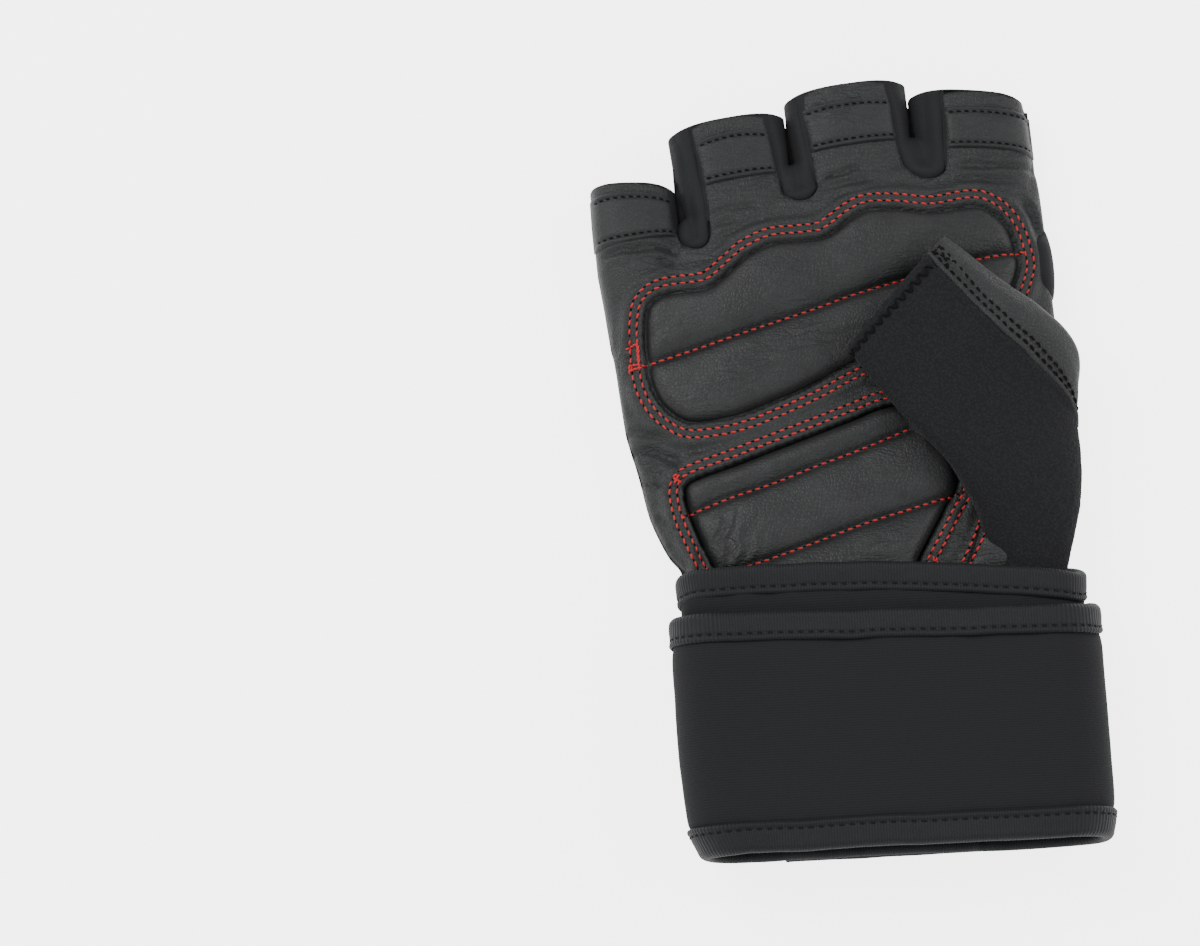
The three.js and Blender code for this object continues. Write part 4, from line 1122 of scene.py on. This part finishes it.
def folded_tape(tape):
    """Tape folded over the edge of a band, with its raw edge rolled under by a row of stitches."""
    half = tape.wall / 2 + 0.1
    leg = tape.edge + tape.facing * (tape_width - (tape_width - half) * np.linspace(0, 1, 34))
    bend = np.linspace(0, math.pi, 15)[1:-1]
    turn = np.stack([half * np.cos(bend), tape.edge + tape.facing * half * (1 - np.sin(bend))], 1)
    back = np.stack([0 * leg - half, leg[::-1]], 1)
    path = np.concatenate([np.stack([half + 0 * leg, leg], 1), turn, back])
    step = np.gradient(path, axis=0)
    step = step / np.hypot(*step.T)[:, None]
    normal = np.stack([step[:, 1], -step[:, 0]], 1)
    normal = normal * np.sign(normal[0, 0])
    run = np.concatenate([[0], np.cumsum(np.hypot(*np.diff(path, axis=0).T))])
    from_edge = np.minimum(run, run[-1] - run)
    thick = 0.32 + 0.20 * hill(from_edge, 0.75, 0.55) - 0.22 * hill(from_edge, 0, 0.25)
    thick = thick - 0.14 * hill(from_edge, 1.75, 0.35)
    places = loop_places(tape.low, tape.high, 0.8)[:-1 if tape.cuff else None, None]
    sides = []
    for sign in (1, -1):
        section = path + sign * normal * thick[:, None]
        out, high = (np.broadcast_to(values, (len(places), len(path))) for values in section.T)
        sides.append(on_tape(tape, places, out, high))
    run = np.broadcast_to(run, sides[0].shape[:2])
    piece = round_band(tape.name, *sides, loop_length(places) + 0 * run, run, binding_tape, "tape", tape.node,
                       closed=tape.cuff, shape=None if tape.cuff else drawn_in)


def no_offset(place):
    return 0 * place


tapes = [Tape("cuff_tape", "inner_cuff_binding", cuff_top, -1, 2.2, 0, 6, no_offset, True, 84)]
folded_tape(tapes[0])

# The wrist wrap
# A wide strap of the same foam rubber goes once round the cuff and laps over itself under the wrist. Folded
# tape binds both of its long edges.
strap_width = 57.0
strap_from, strap_to = -20 / loop_straight, 6 + 26 / loop_straight


def strap_offset(place):
    return 2.85 + 4.0 * eased(4.2, 6 + strap_from - 0.1, place)


def drawn_in(points):
    """The wrap, drawn in at its lower corners and narrower on the thumb side, where it is pulled tight."""
    x, y, z = points[..., 0], points[..., 1], points[..., 2]
    amount = 2.6 * (1 - eased(-1, 9.5, y)) ** 1.5 + 1.7 * (1 - eased(-1, 42, y)) ** 1.5
    small = 1.2 * (1 - eased(-1, 7, y)) ** 1.5
    moved = points.copy()
    moved[..., 0] = x + amount * eased(28, 49, -x) - small * eased(34, 49, x)
    share = x / (loop_straight + loop_radius)
    palm_side = eased(loop_floor, loop_floor + 2 * loop_radius, z)
    moved[..., 1] = y - palm_side * eased(0, strap_width, y) * (1.6 + 1.2 * share - 0.4 * share ** 2)
    moved[..., 2] = np.maximum(z, 0.02)
    return moved


places = loop_places(strap_from, strap_to, 1.1)
y = np.linspace(0.9, 56.1, 54)
p, h = np.meshgrid(places, y, indexing="ij")
edge = np.minimum(h - 0.9, 56.1 - h)
soft = 0.25 * crumple(loop_length(p), h, 14.0, 91) + 0.06 * crumple(loop_length(p), h, 4.0, 92)
swell = 0.55 * (1 - np.exp(-np.clip(edge - 6.2, 0, None) / 1.6)) - 0.25
outer = on_wrist(p, strap_offset(p) + 1.0 + swell + soft, h)
inner = on_wrist(p, strap_offset(p) - 1.15 + soft * 0.3, h)
wrap = round_band("wrist_wrap", outer, inner, loop_length(p), h, neoprene, "neoprene", "wrist_strap",
                  shape=drawn_in)
for side, edge, facing, seed in (("top", strap_width, -1, 94), ("bottom", 0.0, 1, 97)):
    tapes.append(Tape(f"strap_{side}_tape", f"strap_{side}_binding", edge, facing, 2.4, strap_from, strap_to,
                      strap_offset, False, seed))
    folded_tape(tapes[-1])

# The wrap's fastening
# A hook-and-loop patch on the overlapping end holds the two layers of the wrap together under the wrist. It
# can't be seen from the palm side.
hook_patch = finish_from(
    "hook_patch", knit_rows,
    {"Rows apart": 0.9, "Depth": 0.2, "Roughness": 0.85, "Colour": (0.012, 0.013, 0.014, 1)},
    bump=0.8, specular=0.3,
)
x, y = np.meshgrid(np.linspace(-22.4, 22.4, 64), np.linspace(-17, 17, 50))
corner = np.clip(np.abs(x) - 19.4, 0, None) ** 2 + np.clip(np.abs(y) - 14, 0, None) ** 2
squash = np.where(corner > 9, 3 / np.sqrt(np.maximum(corner, 1e-9)), 1.0)
x = np.sign(x) * np.where(np.abs(x) > 19.4, 19.4 + (np.abs(x) - 19.4) * squash, np.abs(x)) - 3.0
y = np.sign(y) * np.where(np.abs(y) > 14, 14 + (np.abs(y) - 14) * squash, np.abs(y)) + 28.5
middle_z = loop_floor - 4.85
upper = np.stack([x, y, middle_z + 0.42 + 0.06 * crumple(x, y, 1.0, 99)], -1)
lower = np.stack([x, y, middle_z - 0.42 - 0.06 * crumple(x, y, 1.0, 100)], -1)
points, faces = two_sided(upper, lower)
patch = sewn_piece("hook_and_loop_patch", wrist_place(points), faces, hook_patch,
                   ["strap_closure"])

# The stitching
# Red thread in double rows round the windows and in single rows down the channels and beside the thumb.
# Black thread on the bands, the tapes and the thumb, with a zigzag round the thumb's open end.
def stitch_row(path, up, pitch, length, radius, turn=0.0, lift=0.30, zigzag=False, start=None):
    """Points and faces of a row of short arched stitches along a path."""
    run = np.concatenate([[0], np.cumsum(np.linalg.norm(np.diff(path, axis=0), axis=1))])
    marks = np.arange(start or pitch / 2, run[-1], pitch)

    def along_run(values, at):
        return np.stack([np.interp(at, run, values[:, i]) for i in range(3)], 1)

    place = along_run(path, marks)
    ahead = along_run(path, marks + 0.3) - along_run(path, marks - 0.3)
    ahead = ahead / np.linalg.norm(ahead, axis=1)[:, None]
    above = along_run(up, marks)
    above = above / np.linalg.norm(above, axis=1)[:, None]
    side = np.cross(above, ahead)
    turns = np.radians(turn) * (np.where(np.arange(len(marks)) % 2, 1, -1) if zigzag else np.ones(len(marks)))
    c, s = np.cos(turns)[:, None], np.sin(turns)[:, None]
    along, across = ahead * c + side * s, side * c - ahead * s
    rings, sides = 7, 6
    t = np.linspace(-1, 1, rings)[:, None]
    angle = np.linspace(0, 2 * math.pi, sides, endpoint=False)
    full = radius * np.sqrt(np.clip(1 - t ** 4, 0.03, 1))
    high = lift * (1 - t * t) - 0.16 + full * np.sin(angle)
    wide = full * np.cos(angle)
    flat = length / 2 * t + 0 * wide
    points = place[:, None, None] + along[:, None, None] * flat[..., None]
    points = points + across[:, None, None] * wide[..., None] + above[:, None, None] * high[..., None]
    one = ring_faces(rings, sides)
    faces = (one[None] + rings * sides * np.arange(len(marks))[:, None, None]).reshape(-1, 4)
    return points.reshape(-1, 3), faces


def on_surface(line, height):
    """Path along a line in plan on a surface, with its upward directions."""
    line = np.asarray(line, float)
    x, y = line[:, 0], line[:, 1]
    z = height(x, y)
    lean_x = (height(x + 0.4, y) - height(x - 0.4, y)) / 0.8
    lean_y = (height(x, y + 0.4) - height(x, y - 0.4)) / 0.8
    up = np.stack([-np.clip(lean_x, -0.6, 0.6), -np.clip(lean_y, -0.6, 0.6), np.ones(len(x))], 1)
    return np.stack([x, y, z], 1), up


def beside(window, gap):
    """The window's outline moved outwards by a gap, closed."""
    step = np.roll(window, -1, 0) - np.roll(window, 1, 0)
    step = step / np.hypot(*step.T)[:, None]
    out = np.stack([step[:, 1], -step[:, 0]], 1)
    middle = window.mean(0)
    if ((window - middle) * out).sum() < 0:
        out = -out
    moved = window + out * gap
    return np.concatenate([moved, moved[:1]])


def thread_and_hole_shade_finish(name, colour, roughness):
    """Twisted thread in one colour; the near-black painted shade in the needle holes is made with it too."""
    thread = bpy.data.materials.new(name)
    thread.use_nodes = True
    tree = thread.node_tree
    shader = tree.nodes["Principled BSDF"]
    place = node(tree, "ShaderNodeTexCoord").outputs["Object"]
    twist = node(tree, "ShaderNodeTexWave", {"Vector": place, "Scale": 900.0, "Distortion": 1.0},
                 wave_type="BANDS", bands_direction="DIAGONAL")
    raised = {"Height": twist.outputs["Fac"], "Strength": 0.5, "Distance": 0.0001}
    raised = node(tree, "ShaderNodeBump", raised)
    tree.links.new(raised.outputs["Normal"], shader.inputs["Normal"])
    shader.inputs["Base Color"].default_value = colour
    shader.inputs["Roughness"].default_value = roughness
    shader.inputs["Specular IOR Level"].default_value = 0.15
    return thread


def joined(rows):
    """One set of points and faces from several."""
    points, faces, count = [], [], 0
    for row_points, row_faces in rows:
        points.append(row_points)
        faces.append(row_faces + count)
        count += len(row_points)
    return np.concatenate(points), np.concatenate(faces)


def sew_red(line, height):
    """Row of red stitches along a line in plan, with near-black painted shade in the needle hole between two
    of them.
    """
    path, up = on_surface(line, height)
    red_rows.append(stitch_row(path, up, red_pitch, 1.55, 0.27, -12))
    # Short near-black capsules between the stitches: painted shade standing in for the needle holes.
    hole_shade_rows.append(stitch_row(path, up, red_pitch, 0.95, 0.27, -12, lift=0.12, start=red_pitch))


red_rows, hole_shade_rows = [], []
for window in (upper_window, lower_window):
    for gap in row_gaps:
        line = beside(window, gap)
        if window is lower_window:
            beyond = line[:-1, 1] - np.where(line[:-1, 0] < 0, 67.2, 64.8) > 0
            first = np.flatnonzero(beyond & ~np.roll(beyond, 1))[0]
            line = np.roll(line[:-1], -first, 0)
            line = line[:np.flatnonzero(~np.roll(beyond, -first))[0]]
        sew_red(line, leather_height)
for pad in pads[:2]:
    for channel in pad[2]:
        def channel_height(x, y):
            inside = line_distance(x, y, pad[1], closed=True)[2]
            return np.where(inside, pad_height(x, y, pad), leather_height(x, y))
        line = rounded(channel, step=0.4)
        sew_red(line, channel_height)
for line in (
    [(26.3, 79.4), (23.2, 72.7), (18.4, 64.7)],
    [(27.0, 76.0), (25.2, 72.0), (20.7, 64.8)],
):
    sew_red(rounded(line, step=0.4), lambda x, y: np.maximum(leather_height(x, y), pad_height(x, y, pads[2])))
for ends in (
    [(-55.3, 127.2), (-52.4, 128.1)], [(-52.5, 128.2), (-52.7, 122.6)], [(-52.2, 127.6), (-52.4, 123.0)],
    [(-54.9, 123.2), (-52.5, 122.8)], [(-54.9, 121.8), (-52.3, 122.1)], [(-54.8, 123.4), (-54.9, 121.4)],
    [(-47.0, 93.9), (-45.4, 92.8)], [(-46.8, 92.6), (-45.8, 94.2)],
):
    path, up = on_surface(np.linspace(ends[0], ends[1], 12), leather_height)
    red_rows.append(stitch_row(path, up, 1.15, 1.5, 0.26, -10, lift=0.45))
red_thread = thread_and_hole_shade_finish("red_thread", (0.50, 0.030, 0.030, 1), 0.6)
points, faces = joined([row[:2] for row in red_rows])
sewn_piece("red_stitches", hand_place(points), faces, red_thread)
# The needle holes' near-black colour is painted shade.
painted_hole_shade = thread_and_hole_shade_finish("painted_hole_shade", (0.0015, 0.0015, 0.0016, 1), 0.95)
points, faces = joined(hole_shade_rows)
sewn_piece("painted_hole_shades", hand_place(points), faces, painted_hole_shade)

black_rows = []
for band in finger_bands:
    p = np.linspace(-0.94, 0.94, 60)
    for t in (1.45 / band_length(band), 1 - 1.45 / band_length(band)):
        x, y = band_line(band, t, p)
        path = np.stack([x, y, leather_height(x, y) + 0.42], 1)
        up = np.stack([0.6 * p ** 3, 0 * p, 1 + 0 * p], 1)
        black_rows.append(stitch_row(path, up, 1.9, 1.45, 0.24, -8))
row = np.linspace(3.9, 7.93, 200)
for gap, spread in zip(thumb_gaps, (0.0, 1.9)):
    angle = seam_angle(row) - (gap + spread * eased(6.9, 7.9, row)) / seam_radius
    path = thumb_place(row, angle, 0.1)
    black_rows.append(stitch_row(path, thumb_place(row, angle, 1.25) - path, 2.2, 1.6, 0.27, -10))
for ends in (((7.9, 1.7), (7.9, 5.3)), ((7.9, 1.9), (7.55, 4.6)), ((7.9, 5.1), (7.55, 1.9))):
    row, gap = np.linspace(ends[0], ends[1], 20).T
    angle = seam_angle(row) - gap / seam_radius
    path = thumb_place(row, angle, 0.12)
    black_rows.append(stitch_row(path, thumb_place(row, angle, 1.12) - path, 1.5, 1.3, 0.24))
angle = np.linspace(1.1, math.pi + 0.3, 200)
row = np.full(200, 7.76)
path = thumb_place(row, angle, 0.12)
black_rows.append(stitch_row(path, thumb_place(row, angle, 1.12) - path, 1.35, 2.6, 0.22, 58, zigzag=True))
black_thread = thread_and_hole_shade_finish("black_thread", (0.003, 0.003, 0.0035, 1), 0.8)
points, faces = joined(black_rows)
sewn_piece("black_stitches", hand_place(points), faces, black_thread)

tape_rows = []
for tape in tapes:
    places = loop_places(tape.low + 0.02, tape.high - 0.02, 0.5)
    height = np.full(places.shape, tape.edge + tape.facing * tape_seam)
    path = on_tape(tape, places, tape.wall / 2 + 0.22, height)
    if not tape.cuff:
        path = drawn_in(path)
        path[:, 2] = np.maximum(path[:, 2], 0.5)
    x, z, out_x, out_z = wrist_loop(places)
    tape_rows.append(stitch_row(path, np.stack([out_x, 0 * x, out_z], 1), 2.4, 1.7, 0.24, -6))
tape_thread = thread_and_hole_shade_finish("tape_thread", (0.0070, 0.0078, 0.0088, 1), 0.8)
points, faces = joined(tape_rows)
sewn_piece("tape_stitches", wrist_place(points), faces, tape_thread)
